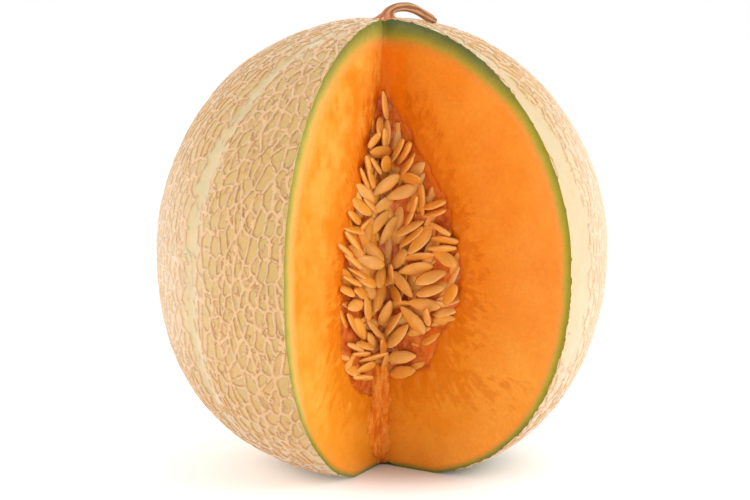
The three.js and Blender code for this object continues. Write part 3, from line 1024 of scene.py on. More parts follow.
@dataclass(frozen=True)
class MelonForm:
    """The melon's sizes and the forms that several pieces share."""

    radius: float = 80.0
    crown: float = 160.0
    equator: float = 80.0
    base_radius: float = 24.0
    lower_fullness: float = 2.35
    crown_dip: float = 0.8
    crown_dip_radius: float = 8.0
    scar_radius: float = 9.0
    scar_depth: float = 1.0
    grooves: tuple[float, ...] = (-68, -33, 8, 83, 120, 156, 192, 226, 258)
    wide_band: Patch = Patch(41.5, 6.2, 92, 76, 1.0)
    wide_valley: float = 0.5
    pole_lean: tuple[float, float] = (1.5, -9.0)
    pole_lean_reach: tuple[float, float] = (10.0, 32.0)
    groove_depth: float = 1.1
    groove_width: float = 3.6
    unevenness: float = 0.4
    groove_fade: float = 0.8
    swellings: tuple[Patch, ...] = (
        Patch(78, 45, 36, 30, -1.6),
        Patch(-105, 45, 152, 20, 1.2),
        Patch(76, 50, 114, 38, -1.2),
    )
    wedge: float = 39.4
    corner_x: float = -1.3
    corner_base: float = -1.8
    corner_crown: float = -7.5
    blunt_left: float = 1.8
    blunt_right: float = 7.0
    blunt_foot: float = -12.0
    hollow_bottom: float = 27.0
    hollow_top: float = 142.0
    hollow_radius: float = 35.7
    hollow_widest: float = 0.566
    hollow_bluntness: float = 0.66
    hollow_taper: float = 0.21
    hollow_unevenness: float = 0.035
    hollow_waves: tuple[tuple[int, float, float], ...] = ((3, 4.0, 1.0), (5, 7.0, 0.7))
    narrowing: Patch = Patch(46, 36, 44, 13, 0.36)
    filled_turn: float = 52.0
    filled_reach: tuple[float, float] = (75.0, 50.0)
    filled_height: tuple[float, float] = (39.0, 31.0)
    filled_bottom: float = 35.0
    empty_side: Patch = Patch(60, 45, 114, 20, 8.0)
    pulp_clearance: float = 0.8
    pulp_least: float = 0.25
    pulp_bulge: float = 4.5
    wall_step: float = 0.004
    wall_slope_most: float = 3.0

    def middle(self) -> Points:
        """The point that the skin's distances are measured from."""
        return np.array([0.0, 0.0, self.equator])

    def corner(self, height: Numbers) -> Points:
        """The line where the two cuts meet, at heights."""
        depth = lerp(self.corner_base, self.corner_crown, height / self.crown)
        across, depth, up = np.broadcast_arrays(self.corner_x, depth, height)
        return np.stack([across, depth, up], axis=-1)

    def meridian(self, points: Points) -> Numbers:
        """The angle of points round the leaning pole where the grooves run together."""
        share = (points[..., 2] - self.equator) / (self.crown - self.equator)
        away = np.hypot(points[..., 0], points[..., 1])
        lean = share * smoothstep(*self.pole_lean_reach, away)
        across = points[..., 0] - lean * self.pole_lean[0]
        forward = lean * self.pole_lean[1] - points[..., 1]
        return np.degrees(np.arctan2(across, forward))

    def groove_share(self, angle: Numbers, width: float) -> Numbers:
        """How far into a groove each angle is, from 0 to 1."""
        return sum(bell(turn_between(angle, groove), width) for groove in self.grooves)

    def skin_distance(self, directions: Points) -> Numbers:
        """Distance of the smooth skin from the middle, along directions of length 1."""
        across = np.hypot(directions[:, 0], directions[:, 1])
        up = directions[:, 2]
        power = self.lower_fullness
        below = self.equator / (1.0 - (self.base_radius / self.radius) ** power) ** (1.0 / power)
        drop = np.maximum(-up, 0.0)
        spread = (across / self.radius) ** power + (drop / below) ** power
        lower = np.maximum(spread, TINY) ** (-1.0 / power)
        plain = np.where(up > 0.0, self.radius, lower)
        plain = np.minimum(plain, self.equator / np.maximum(drop, TINY))
        plain -= np.where(up > 0.0, self.crown_dip * bell(plain * across, self.crown_dip_radius), 0.0)
        angle = angle_of(directions)
        height = self.equator + plain * up
        relief = self.unevenness * 0.5 * (wave(angle, 2, height) + wave(angle, 3, 140.0 - 2.0 * height))
        relief += sum(swelling.at(angle, height) for swelling in self.swellings)
        meridian = self.meridian(self.middle() + plain[:, None] * directions)
        relief -= self.groove_depth * self.groove_share(meridian, self.groove_width)
        relief -= self.wide_valley * self.wide_band.at(meridian, height)
        fade = smoothstep(self.base_radius, self.radius * self.groove_fade, plain * across)
        return plain * (1.0 + fade * relief / self.radius)

    def depth_below_skin(self, points: Points) -> Numbers:
        """How far points are inside the smooth skin."""
        arms = points - self.middle()
        return self.skin_distance(unit(arms)) - np.linalg.norm(arms, axis=1)

    def cuts(self) -> dict[str, CutPlane]:
        """The right and left cuts, and the narrow one that blunts their corner."""
        line = self.corner(self.crown) - self.corner(0.0)
        right = polar(self.wedge, 1.0, 0.0)
        left = polar(-self.wedge, 1.0, 0.0)
        foot = self.corner(self.blunt_foot)
        top = self.corner(self.crown)
        across = self.blunt_right * right - self.blunt_left * left
        middle_top = top + (self.blunt_right * right + self.blunt_left * left) / 2.0
        plan = {
            "right": (self.corner(0.0), np.cross(right, line), line),
            "left": (self.corner(0.0), np.cross(line, left), line),
            "corner": (foot, np.cross(across, middle_top - foot), middle_top - foot),
        }
        return {
            name: CutPlane(point, unit(normal), unit(up)) for name, (point, normal, up) in plan.items()
        }

    def filled(self, angle: Numbers) -> Numbers:
        """How far the hollow's foot is filled with flesh at angles: wholly at the front right."""
        return smoothstep(*self.filled_reach, turn_between(angle, self.filled_turn))

    def hollow_distance(self, angle: Numbers, share: Numbers) -> Numbers:
        """Distance of the hollow's wall from the axis, at shares of the way up it."""
        share = np.clip(share, 0.0, 1.0)
        height = lerp(self.hollow_bottom, self.hollow_top, share)
        bluntness = self.hollow_bluntness + self.hollow_taper * np.sqrt(share)
        plain = np.maximum(np.sin(np.pi * share**self.hollow_widest), 0.0) ** bluntness
        waves = sum(depth * wave(angle, count, height * turn) for count, turn, depth in self.hollow_waves)
        drawn_in = 1.0 - self.narrowing.at(angle, height)
        drawn_in = drawn_in * (1.0 - self.filled(angle) * smoothstep(*self.filled_height, height))
        return self.hollow_radius * plain * (1.0 + self.hollow_unevenness * waves) * drawn_in

    def hollow_share(self, height: Numbers) -> Numbers:
        """The share of the way up the hollow at heights."""
        return (height - self.hollow_bottom) / (self.hollow_top - self.hollow_bottom)

    def pulp_distance(self, angle: Numbers, share: Numbers) -> Numbers:
        """Distance of the pulp's side from the axis."""
        height = lerp(self.hollow_bottom, self.hollow_top, share)
        wall = self.hollow_distance(angle, share)
        empty = self.empty_side.at(angle, height)
        return np.maximum(wall - self.pulp_clearance - empty, wall * self.pulp_least)

    def pulp_front(self, across: Numbers) -> Numbers:
        """How far forward of the corner the seeds lie, at places across it."""
        return -np.hypot(across / math.tan(math.radians(self.wedge)), self.pulp_bulge)

    def outside_hollow(self, points: Points) -> Numbers:
        """About how far points are outside the hollow's wall."""
        angle = angle_of(points)
        bottom = lerp(self.hollow_bottom, self.filled_bottom, self.filled(angle))
        height = np.clip(points[:, 2], bottom, self.hollow_top)
        share = self.hollow_share(height)
        above, below = (
            self.hollow_distance(angle, share + step) for step in (self.wall_step, -self.wall_step)
        )
        slope = (above - below) / (2.0 * self.wall_step * (self.hollow_top - self.hollow_bottom))
        slope = np.clip(slope, -self.wall_slope_most, self.wall_slope_most)
        wall = self.hollow_distance(angle, share)
        out = (np.hypot(points[:, 0], points[:, 1]) - wall) / np.hypot(1.0, slope)
        level = (points[:, 2] > bottom) & (points[:, 2] < self.hollow_top)
        return np.hypot(np.maximum(out, 0.0), points[:, 2] - height) + level * np.minimum(out, 0.0)


FORM = MelonForm()


# Rind


@dataclass(frozen=True)
class Mesh:
    """One layer of the net: cells that are longer than wide, with lines between them."""

    across: float
    along: float
    seed: int
    jitter: float = 0.46
    neighbours: int = 18
    slant: float = 34.0
    slant_size: float = 15.0
    slant_seed: int = 50
    fewest: int = 3

    def centres(self) -> Points:
        """Middles of the cells on the plain ball, in uneven rows from crown to base."""
        random = np.random.default_rng(self.seed)
        rows = int(round(math.pi * FORM.radius / self.along))
        places = []
        for row in range(rows):
            fall = math.pi * (row + 0.5) / rows
            count = int(round(2.0 * math.pi * math.sin(fall) * FORM.radius / self.across))
            count = max(self.fewest, count)
            turns = (np.arange(count) + random.uniform(-self.jitter, self.jitter, count)) / count
            turns = 2.0 * math.pi * (turns + random.random())
            falls = fall + math.pi / rows * random.uniform(-self.jitter, self.jitter, count)
            ring = [np.sin(falls) * np.sin(turns), -np.sin(falls) * np.cos(turns), np.cos(falls)]
            places.append(np.stack(ring, axis=1))
        return FORM.radius * np.concatenate(places)

    def nearest(self, points: Points) -> tuple[Numbers, Points]:
        """The nearest line of the layer.

        Args:
            points: Points of the plain ball.

        Returns:
            The distance to the line from each point, along the skin, and the direction to it.
        """
        centres = self.centres()
        tree = kdtree.KDTree(len(centres))
        for number, centre in enumerate(centres):
            tree.insert(centre, number)
        tree.balance()
        rings = [[found[1] for found in tree.find_n(centre, self.neighbours)] for centre in centres]
        rings = np.array(rings)
        near = rings[np.array([tree.find(point)[1] for point in points])]
        out = unit(points)
        level = unit(np.cross([0.0, 0.0, 1.0], out))
        rising = np.cross(out, level)
        lean = smooth_noise(points, self.slant_size, self.seed + self.slant_seed)
        lean = math.radians(self.slant) * lean[:, None]
        east = np.cos(lean) * level + np.sin(lean) * rising
        north = np.cos(lean) * rising - np.sin(lean) * level
        squeeze = self.across / self.along
        gaps = centres[near] - points[:, None]
        flat_east = np.einsum("nkc,nc->nk", gaps, east)
        flat_north = np.einsum("nkc,nc->nk", gaps, north) * squeeze
        square = flat_east**2 + flat_north**2
        rows = np.arange(len(points))
        own = np.argmin(square, axis=1)
        step_east = flat_east - flat_east[rows, own][:, None]
        step_north = flat_north - flat_north[rows, own][:, None]
        gap = np.hypot(step_east, step_north)
        gap[rows, own] = 1.0
        steepness = np.maximum(np.hypot(step_east, squeeze * step_north) / gap, TINY)
        distance = (square - square[rows, own][:, None]) / (2.0 * gap * steepness)
        distance[rows, own] = np.inf
        best = np.argmin(distance, axis=1)
        way = east * step_east[rows, best][:, None] + north * squeeze * step_north[rows, best][:, None]
        return distance[rows, best], unit(way)


@dataclass(frozen=True)
class Rind:
    """The netted skin, open where the wedge was cut out."""

    subdivisions: int = 7
    line_height: float = 0.5
    line_width: float = 0.58
    snap: float = 0.34
    band_width: float = 3.2
    margin: float = 1.5
    main_net: Mesh = Mesh(across=3.7, along=7.4, seed=3)
    fine_net: Mesh = Mesh(across=2.6, along=4.8, seed=8)
    bends: tuple[Lumps, ...] = (Lumps(5.0, 21, 0.6, 2), Lumps(5.0, 31, 0.6, 2), Lumps(5.0, 41, 0.6, 2))
    missing: Lumps = Lumps(4.5, 77)
    missing_past: tuple[float, float] = (-0.15, 0.25)
    missing_gap: float = 3.0
    fine_thinness: float = 1.2
    fine_gap: float = 0.08
    band_waves: tuple[Lumps, ...] = (Lumps(6.0, 91, 2.4, 4, (1.0, 1.0, 0.6)), Lumps(2.2, 92, 1.5))
    band_narrowing: float = 0.4
    band_edge: tuple[float, float] = (0.2, 0.95)
    band_patches: Lumps = Lumps(9.0, 95, 0.35, 2)
    band_usual: float = 0.8
    band_least: float = 0.4
    wide_edge: tuple[float, float] = (0.4, 0.8)
    bare_edge: tuple[float, float] = (8.0, -2.0)
    bare_gap: float = 2.0
    bare_tint: float = 0.5
    fading: Lumps = Lumps(3.0, 97)
    fading_usual: float = 0.9
    fading_limits: tuple[float, float] = (0.05, 1.6)
    fading_edge: tuple[float, float] = (0.3, 1.0)
    fading_gap: float = 1.1
    thickness: Lumps = Lumps(5.0, 55, 0.34)
    thickness_usual: float = 1.12
    dimples: Lumps = Lumps(4.0, 17, 0.12)
    farthest: float = 3.0
    scar_middle: float = 0.5

    def upright(self) -> Points:
        """Three directions, the last one along the leaning pole."""
        pole = unit(np.array([*FORM.pole_lean, FORM.crown - FORM.equator]))
        side = unit(np.cross([0.0, 1.0, 0.0], pole))
        return np.stack([side, np.cross(pole, side), pole])

    def nearest_line(self, directions: Points) -> tuple[Numbers, Points]:
        """The nearest line of the net.

        Args:
            directions: Directions from the melon's middle.

        Returns:
            The distance to the line from each place on the skin, and the direction to it.
        """
        turned = self.upright()
        plain = directions @ turned.T * FORM.radius
        bent = FORM.radius * unit(plain + np.stack([bend.at(plain) for bend in self.bends], axis=1))
        main, main_way = self.main_net.nearest(bent)
        fine, fine_way = self.fine_net.nearest(bent)
        missing = smoothstep(*self.missing_past, self.missing.at(plain))
        fine = fine * self.fine_thinness + self.fine_gap + self.missing_gap * missing
        finer = fine < main
        way = np.where(finer[:, None], fine_way, main_way) @ turned
        return np.where(finer, fine, main), way

    def snapped(self, directions: Points) -> Points:
        """The directions, with those near a line of the net moved to its ridge or its foot."""
        distance, way = self.nearest_line(directions)
        shift = np.where(distance < self.snap, distance, distance - self.line_width)
        shift = np.where(distance < 2.0 * self.line_width - self.snap, shift, 0.0)
        return unit(directions * FORM.radius + way * shift[:, None])

    def bands(self, skin: Points) -> tuple[Numbers, Numbers]:
        """How far each point is in a smooth band along a groove, and in the widest of them."""
        spread = 1.0 - self.band_narrowing * ((skin[:, 2] - FORM.equator) / FORM.equator) ** 2
        meridian = FORM.meridian(skin) + sum(waves.at(skin) for waves in self.band_waves)
        wide = FORM.wide_band.at(meridian, skin[:, 2])
        share = np.maximum(FORM.groove_share(meridian, self.band_width), wide)
        patchy = np.clip(self.band_usual + self.band_patches.at(skin), self.band_least, 1.0)
        return smoothstep(*self.band_edge, share) * spread * patchy, smoothstep(*self.wide_edge, wide)

    def build(self) -> Surface:
        """The skin before the wedge is cut out of it, with what its finish needs."""
        skin = ball(self.subdivisions)
        cuts = FORM.cuts().values()
        outer = FORM.middle() + skin.points * FORM.skin_distance(skin.points)[:, None]
        in_front = np.min([cut.distance(outer) for cut in cuts], axis=0)
        skin = skin.keep(np.any((in_front < self.margin)[skin.faces], axis=1))
        directions = self.snapped(skin.points)
        smooth = FORM.skin_distance(directions)
        away = smooth * np.hypot(directions[:, 0], directions[:, 1])
        band, wide = self.bands(FORM.middle() + directions * smooth[:, None])
        under = directions[:, 2] < 0.0
        bare_from, bare_to = (FORM.base_radius + reach for reach in self.bare_edge)
        low = smoothstep(bare_from, bare_to, away) * under
        plain = directions * FORM.radius
        fading = np.clip(self.fading_usual + self.fading.at(plain), *self.fading_limits)
        net = self.nearest_line(directions)[0] / (self.thickness_usual + self.thickness.at(plain))
        net = net + self.fading_gap * fading * smoothstep(*self.fading_edge, band)
        net = net + self.bare_gap * low + wide
        line = smoothstep(self.line_width, 0.0, net)
        raised = smooth + (self.line_height * line + self.dimples.at(plain)) * (1.0 - low)
        points = FORM.middle() + directions * raised[:, None]
        scar = smoothstep(FORM.scar_radius, FORM.scar_radius * self.scar_middle, away) * under
        points[:, 2] = np.maximum(points[:, 2], 0.0) + FORM.scar_depth * scar
        values = {
            "net": np.minimum(net, self.farthest),
            "band": band,
            "scar": np.maximum(scar, self.bare_tint * low),
        }
        return Surface(points, skin.faces, values)


# Flesh


@dataclass(frozen=True)
class Hollow:
    """The wall of the seed hollow, seen from inside it."""

    rows: int = 120
    columns: int = 168
    least: float = 0.3
    roughness: float = 0.55
    rough: tuple[Lumps, ...] = (Lumps(5.0, 61, 1.0, 3), Lumps(2.4, 71, 0.6, 3, (1.0, 1.0, 2.2)))
    smooth_within: float = 8.0

    def build(self) -> Surface:
        """The wall before the wedge is cut out of it."""
        even = np.linspace(0.0, 1.0, self.rows + 2)[1:-1]
        share = (0.5 - 0.5 * np.cos(np.pi * even) + even) / 2.0
        angle = 360.0 * np.arange(self.columns) / self.columns + 180.0
        angle, share = np.meshgrid(angle, share)
        height = lerp(FORM.hollow_bottom, FORM.hollow_top, share)
        away = np.maximum(FORM.hollow_distance(angle, share), self.least)
        plain = polar(angle, away, height)
        rough = sum(lumps.at(plain) for lumps in self.rough)
        away = away + self.roughness * rough * smoothstep(0.0, self.smooth_within, away)
        surface = ringed(polar(angle, away, height), {})
        return Surface(surface.points, surface.faces[:, ::-1])


@dataclass(frozen=True)
class CutFace:
    """One flat cut face, meshed between the edges of the skin and of the hollow."""

    cut: CutPlane
    others: tuple[CutPlane, ...]
    spacing: float = 0.8
    fine_rim: float = 8.0
    fine_core: float = 9.0
    half_width: float = 130.0
    reach_down: float = 20.0
    reach_up: float = 190.0
    room: float = 0.6
    core_room: float = 0.5

    def inner_points(self) -> Points:
        """Points of a triangular grid inside the face, closer together near its edges."""
        across = np.arange(-self.half_width, self.half_width, self.spacing)
        up = np.arange(-self.reach_down, self.reach_up, self.spacing * math.sin(math.radians(60.0)))
        column, row = np.meshgrid(np.arange(len(across)), np.arange(len(up)))
        places = np.stack([across[column] + 0.5 * self.spacing * (row % 2), up[row]], axis=-1)
        points = self.cut.lift(places.reshape(-1, 2))
        room = self.spacing * self.room
        depth = FORM.depth_below_skin(points)
        core = FORM.outside_hollow(points)
        inside = (depth > room) & (core > room + self.core_room) & (points[:, 2] > room)
        for other in self.others:
            inside &= other.distance(points) > room
        coarse = ((column % 2 == 0) & (row % 2 == 0)).ravel()
        fine = (depth < self.fine_rim) | (core < self.fine_core)
        return points[inside & (coarse | fine)]

    def build(self, edges: list[Points]) -> Surface:
        """Fills the face.

        Args:
            edges: Pairs of points along the face's edges.

        Returns:
            The face's triangles, whose edge points are the given ones.
        """
        ends = np.concatenate(edges)
        places = np.round(ends / SAME_PLACE).astype(np.int64)
        _, first, numbers = np.unique(places, axis=0, return_index=True, return_inverse=True)
        border = ends[first]
        pairs = numbers.ravel().reshape(-1, 2)
        points = np.concatenate([border, self.inner_points()])
        flat = [Vector(place) for place in self.cut.flat(points)]
        made = geometry.delaunay_2d_cdt(flat, [tuple(map(int, pair)) for pair in pairs], [], 1, ON_PLANE)
        kept = [sources[0] if sources else -1 for sources in made[3]]
        lifted = self.cut.lift(np.array([tuple(place) for place in made[0]]))
        known = np.array(kept) >= 0
        lifted[known] = points[np.array(kept)[known]]
        return Surface(lifted, np.array(made[2]))


@dataclass(frozen=True)
class Flesh:
    """Cut faces and hollow of the melon as one surface that meets the rind edge to edge."""

    rim_heights: tuple[float, ...] = (0.0, 30.0, 80.0, 125.0, 150.0, 160.0)
    rim_widths: tuple[float, ...] = (1.8, 2.7, 4.0, 4.4, 7.6, 11.6)
    left_widening: float = 0.6
    left_from: tuple[float, float] = (0.0, 60.0)
    left_to: tuple[float, float] = (150.0, 110.0)
    waves: tuple[Lumps, ...] = (Lumps(14.0, 23, 0.45), Lumps(3.0, 29, 0.1, 3))
    held_edge: float = 3.0
    fringe: float = 0.55
    fringe_width: float = 6.0
    torn: Lumps = Lumps(2.6, 37, 1.0, 3)
    torn_rays: Lumps = Lumps(1.8, 39)
    ray_squeeze: tuple[float, float] = (0.3, 0.2)
    lip: float = 2.8
    lip_waves: Lumps = Lumps(5.0, 43, 0.45, 3)
    sharp_foot: tuple[float, float] = (42.0, 34.0)
    sharp_share: float = 0.8
    ridge_step: float = 1.0
    slope_step: float = 0.2
    side_blend: float = 0.5
    lip_blend: float = 2.0
    around_centre: float = 0.42
    around_reach: float = 34.0
    around_right: float = 200.0
    strip_shade_edge: tuple[float, float] = (1.2, 0.2)
    strip_shade_foot: tuple[float, float] = (20.0, 60.0)
    crown_from: tuple[float, float] = (120.0, 152.0)
    crown_shares: tuple[float, float] = (0.45, 0.95)
    low_rim: float = 0.55
    low_rim_below: tuple[float, float] = (40.0, 8.0)
    alike_below: tuple[float, float] = (40.0, 10.0)
    wet_reach: tuple[float, float] = (8.0, 9.0)
    wet_low: tuple[float, float] = (2.0, 4.0)
    wet_low_height: float = 38.0
    wet_low_tall: float = 26.0
    most_depth: float = 2.0

    def cut_away(self, surface: Surface) -> Surface:
        """The surface without what lies in the wedge."""
        cuts = FORM.cuts().values()
        for cut in cuts:
            surface = surface.split(cut.distance(surface.points))
        middles = surface.middles()
        removed = np.all([cut.distance(middles) > 0.0 for cut in cuts], axis=0)
        return surface.keep(~removed)

    def ridge(self, cut: CutPlane, other: CutPlane, borders: list[Surface]) -> list[Points]:
        """Pairs of points along the line where two cuts meet, between the skin and the hollow."""
        ends = []
        for surface in borders:
            points = surface.points[np.unique(surface.border())]
            near = np.max([np.abs(plane.distance(points)) for plane in (cut, other)], axis=0) < ON_PLANE
            ends.append(points[near][np.argsort(points[near][:, 2])])
        skin, hollow = ends
        pairs = []
        for start, end in ((skin[0], hollow[0]), (hollow[-1], skin[-1])):
            count = max(2, int(np.linalg.norm(end - start) / self.ridge_step))
            line = lerp(start, end, np.linspace(0.0, 1.0, count + 1)[:, None])
            pairs.append(np.stack([line[:-1], line[1:]], axis=1).reshape(-1, 3))
        return pairs

    def faces(self, skin: Surface, hollow: Surface) -> Surface:
        """The three cut faces, from the edges of the skin and the hollow."""
        cuts = FORM.cuts()
        meeting = {"right": ("corner",), "left": ("corner",), "corner": ("right", "left")}
        total: Surface | None = None
        for name, cut in cuts.items():
            edges = []
            for surface in (skin, hollow):
                border = surface.border()
                ends = surface.points[border]
                off_cut = np.abs(cut.distance(ends)).max(axis=1)
                edges.append(ends[off_cut < ON_PLANE].reshape(-1, 3))
            for other in meeting[name]:
                edges += self.ridge(cut, cuts[other], [skin, hollow])
            others = tuple(plane for key, plane in cuts.items() if key != name)
            face = CutFace(cut, others).build(edges)
            total = face if total is None else total.add(face)
        return total

    def finish_values(self, points: Points, is_wall: Numbers) -> dict[str, Numbers]:
        """What the finish needs to know at each point.

        Args:
            points: The surface's points.
            is_wall: 1 on the hollow's wall and 0 on the cut faces.

        Returns:
            Depth below the skin in shares of the green rim, distance from the hollow, place round
            it, the wall's own share, those of the crown, the right face and the narrow face, whose
            share places its painted shade, and how far the flesh is wet.
        """
        height = points[:, 2]
        across = points[:, 0] - FORM.corner_x
        right = smoothstep(-self.side_blend, self.side_blend, across)
        middle = smoothstep(*self.left_from, height) * smoothstep(*self.left_to, height)
        rim = np.interp(height, self.rim_heights, self.rim_widths)
        rim = rim * (1.0 + self.left_widening * (1.0 - right) * middle)
        depth = FORM.depth_below_skin(points) / rim
        centre = lerp(FORM.hollow_bottom, FORM.hollow_top, self.around_centre)
        around = np.arctan2(height - centre, np.hypot(across, points[:, 1])) * self.around_reach
        off_strip = np.abs(FORM.cuts()["corner"].distance(points))
        # The narrow corner face's share, where the finish paints its shade.
        strip = smoothstep(*self.strip_shade_edge, off_strip) * (1.0 - is_wall)
        low = bell(height - self.wet_low_height, self.wet_low_tall)
        low_rim = self.low_rim * smoothstep(*self.low_rim_below, height)
        crown = smoothstep(*self.crown_from, height) * lerp(*self.crown_shares, right)
        return {
            "depth": np.clip(depth, 0.0, self.most_depth),
            "core": FORM.outside_hollow(points),
            "around": around + self.around_right * right,
            "wall": is_wall,
            "crown": np.maximum(crown, low_rim),
            "side": np.maximum(right, smoothstep(*self.alike_below, height)),
            "strip": strip * smoothstep(*self.strip_shade_foot, height),
            "wet": lerp(*self.wet_reach, right) + lerp(*self.wet_low, right) * low,
        }

    def softened(self, points: Points, is_wall: Numbers, core: Numbers) -> Points:
        """Rounds the edge between the cut faces and the hollow's wall.

        Args:
            points: The surface's points.
            is_wall: 1 on the hollow's wall and 0 on the cut faces.
            core: How far each point is outside the hollow.

        Returns:
            The points in their new places.
        """
        cuts = list(FORM.cuts().values())
        behind = -np.stack([cut.distance(points) for cut in cuts], axis=1)
        nearest = np.argmax(behind, axis=1)
        inward = -np.stack([cut.normal for cut in cuts])[nearest]
        depth = np.where(is_wall > 0.5, np.maximum(behind.max(axis=1), 0.0), 0.0)
        side = np.where(is_wall > 0.5, 0.0, np.maximum(core, 0.0))
        here = FORM.outside_hollow(points)
        slopes = [FORM.outside_hollow(points + self.slope_step * way) - here for way in np.eye(3)]
        outward = unit(np.stack(slopes, axis=1))
        radius = self.lip * (1.0 + self.lip_waves.at(points))
        right = smoothstep(-self.lip_blend, self.lip_blend, points[:, 0] - FORM.corner_x)
        radius *= 1.0 - self.sharp_share * right * smoothstep(*self.sharp_foot, points[:, 2])
        room = np.stack([radius - depth, radius - side], axis=1)
        rounded = radius[:, None] - unit(room) * radius[:, None]
        moved = (room > 0.0).all(axis=1)[:, None] * (rounded - np.stack([depth, side], axis=1))
        return points + inward * moved[:, :1] + outward * moved[:, 1:]

    def build(self, skin: Surface) -> Surface:
        """The flesh that fits a skin from which the wedge has been cut."""
        wall = self.cut_away(Hollow().build())
        faces = self.faces(skin, wall)
        faces.values["wall"] = np.zeros(len(faces.points))
        wall.values["wall"] = np.ones(len(wall.points))
        flesh = faces.add(wall).weld()
        values = self.finish_values(flesh.points, flesh.values["wall"])
        plain = flesh.points
        flesh.points = self.softened(plain, values["wall"], values["core"])
        free = smoothstep(0.0, self.held_edge, FORM.depth_below_skin(plain))
        waves = sum(lumps.at(plain) for lumps in self.waves)
        first, third = (squeeze * values["core"] for squeeze in self.ray_squeeze)
        rays = self.torn_rays.at(np.stack([first, values["around"], third], axis=1))
        torn = self.fringe * bell(values["core"], self.fringe_width) * (self.torn.at(plain) + rays)
        moved = flesh.points + flesh.normals() * (free * (waves + torn))[:, None]
        return Surface(moved, flesh.faces, values)


@dataclass(frozen=True)
class MelonBody:
    """The rind and the flesh."""

    rind: Rind = Rind()
    flesh: Flesh = Flesh()

    def build(self) -> list[bpy.types.Object]:
        """Makes both pieces, which stand for the melon's solid."""
        skin = self.flesh.cut_away(self.rind.build())
        inside = self.flesh.build(skin)
        pieces = [
            skin.object("melon_rind", RindFinish().make(), Slot.RIND),
            inside.object("melon_flesh", FleshFinish().make(), Slot.FLESH),
        ]
        for piece in pieces:
            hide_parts("melon")
        return pieces


# Tubes


def curve_through(points: Points, count: int) -> Points:
    """A smooth line through a row of points.

    Args:
        points: The points that it passes.
        count: How many points to give it.

    Returns:
        The line's points, from the first given point to the last.
    """
    held = np.concatenate([[2.0 * points[0] - points[1]], points, [2.0 * points[-1] - points[-2]]])
    place = np.linspace(0.0, len(points) - 1.0, count)
    index = np.minimum(place.astype(int), len(points) - 2)
    part = (place - index)[:, None]
    before, start, end, after = (held[index + step] for step in range(4))
    slope = (end - before) * part
    bend = (2.0 * before - 5.0 * start + 4.0 * end - after) * part**2
    twist = (3.0 * start - before - 3.0 * end + after) * part**3
    return 0.5 * (2.0 * start + slope + bend + twist)


def tube(path: Points, radii: Numbers, values: dict[str, Numbers]) -> Surface:
    """A closed tube along a line.

    Args:
        path: Points along its middle.
        radii: Its radius at each point of the line, and at each turn round it.
        values: Named numbers in the layout of the radii.

    Returns:
        The tube's surface.
    """
    along = unit(np.gradient(path, axis=0))
    front = np.array([0.0, -1.0, 0.0])
    fronts = []
    for direction in along:
        front = unit(front - direction * (front @ direction))
        fronts.append(front)
    fronts = np.array(fronts)
    sides = np.cross(fronts, along)
    turn = 2.0 * np.pi * np.arange(radii.shape[1]) / radii.shape[1]
    ring = np.cos(turn)[None, :, None] * sides[:, None]
    ring = ring + np.sin(turn)[None, :, None] * fronts[:, None]
    return ringed(path[:, None] + radii[..., None] * ring, values)


# Pulp


@dataclass(frozen=True)
class Pulp:
    """Wet pulp in the hollow, behind and between the seeds."""

    rows: int = 150
    columns: int = 200
    recess: float = 2.0
    lumps: tuple[Lumps, ...] = (Lumps(5.0, 301, 1.3, 3), Lumps(1.8, 311, 0.5, 2, (1.0, 1.0, 0.4)))
    lumps_at_edge: float = 0.8
    least: float = 0.4
    overlap: float = 1.6
    sunk: float = 1.0
    even_share: float = 0.35
    full_corner: Patch = Patch(34, 24, 116, 22, 0.5)
    edge_reach: tuple[float, float] = (3.4, 0.3)
    edge_lift: float = 1.1
    edge_top: tuple[float, float] = (124.0, 106.0)
    edge_rounding: float = 1.1
    edge_from: tuple[float, float] = (-20.0, 10.0)
    edge_left: float = 0.4
    edge_least: float = 0.6
    search_steps: int = 24

    def front_distance(self, angle: Numbers, height: Numbers) -> Numbers:
        """Distance from the axis to the front of the pulp, looking out at angles."""
        corner = FORM.corner(height)
        recess = self.recess - self.full_corner.at(angle, height)
        near = np.zeros_like(height)
        far = np.full_like(height, FORM.radius)
        for _ in range(self.search_steps):
            middle = (near + far) / 2.0
            point = polar(angle, middle, height)
            front = corner[..., 1] + FORM.pulp_front(point[..., 0] - corner[..., 0]) + recess
            inside = point[..., 1] > front
            near = np.where(inside, middle, near)
            far = np.where(inside, far, middle)
        return near

    def surface(self) -> Surface:
        """The pulp's closed surface, closer meshed at the front."""
        share = np.linspace(0.0, 1.0, self.rows + 2)[1:-1]
        turn = np.linspace(-1.0, 1.0, self.columns, endpoint=False)
        angle = 180.0 * lerp(turn**3, turn, self.even_share)
        angle, share = np.meshgrid(angle, share)
        height = lerp(FORM.hollow_bottom - self.sunk, FORM.hollow_top, share)
        side = FORM.hollow_distance(angle, share) + self.overlap
        front = self.front_distance(angle, height)
        away = np.minimum(side, front)
        right = smoothstep(*self.edge_from, angle) * smoothstep(*self.edge_top, height)
        edge = smoothstep(*self.edge_reach, side - self.overlap - away)
        edge = edge * lerp(self.edge_left, 1.0, right)
        away = away - self.edge_rounding * np.log1p(np.exp(-np.abs(side - front) / self.edge_rounding))
        away = np.maximum(away + self.edge_lift * edge, self.edge_least)
        plain = polar(angle, away, height)
        lumps = sum(layer.at(plain) for layer in self.lumps)
        away = np.maximum(away + lumps * lerp(1.0, self.lumps_at_edge, edge), self.least)
        return ringed(polar(angle, away, height), {"lift": lumps, "edge": edge})

    def build(self) -> list[bpy.types.Object]:
        """Makes the pulp, which stands for part of the solid of the seeds."""
        piece = self.surface().object("pulp", PulpFinish().make(), Slot.PULP)
        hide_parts("seeds")
        return [piece]


# Seeds


class Layer(Enum):
    """How far forward a seed lies in the heap."""

    BEHIND = 0.0
    MIDDLE = 0.4
    FRONT = 1.0


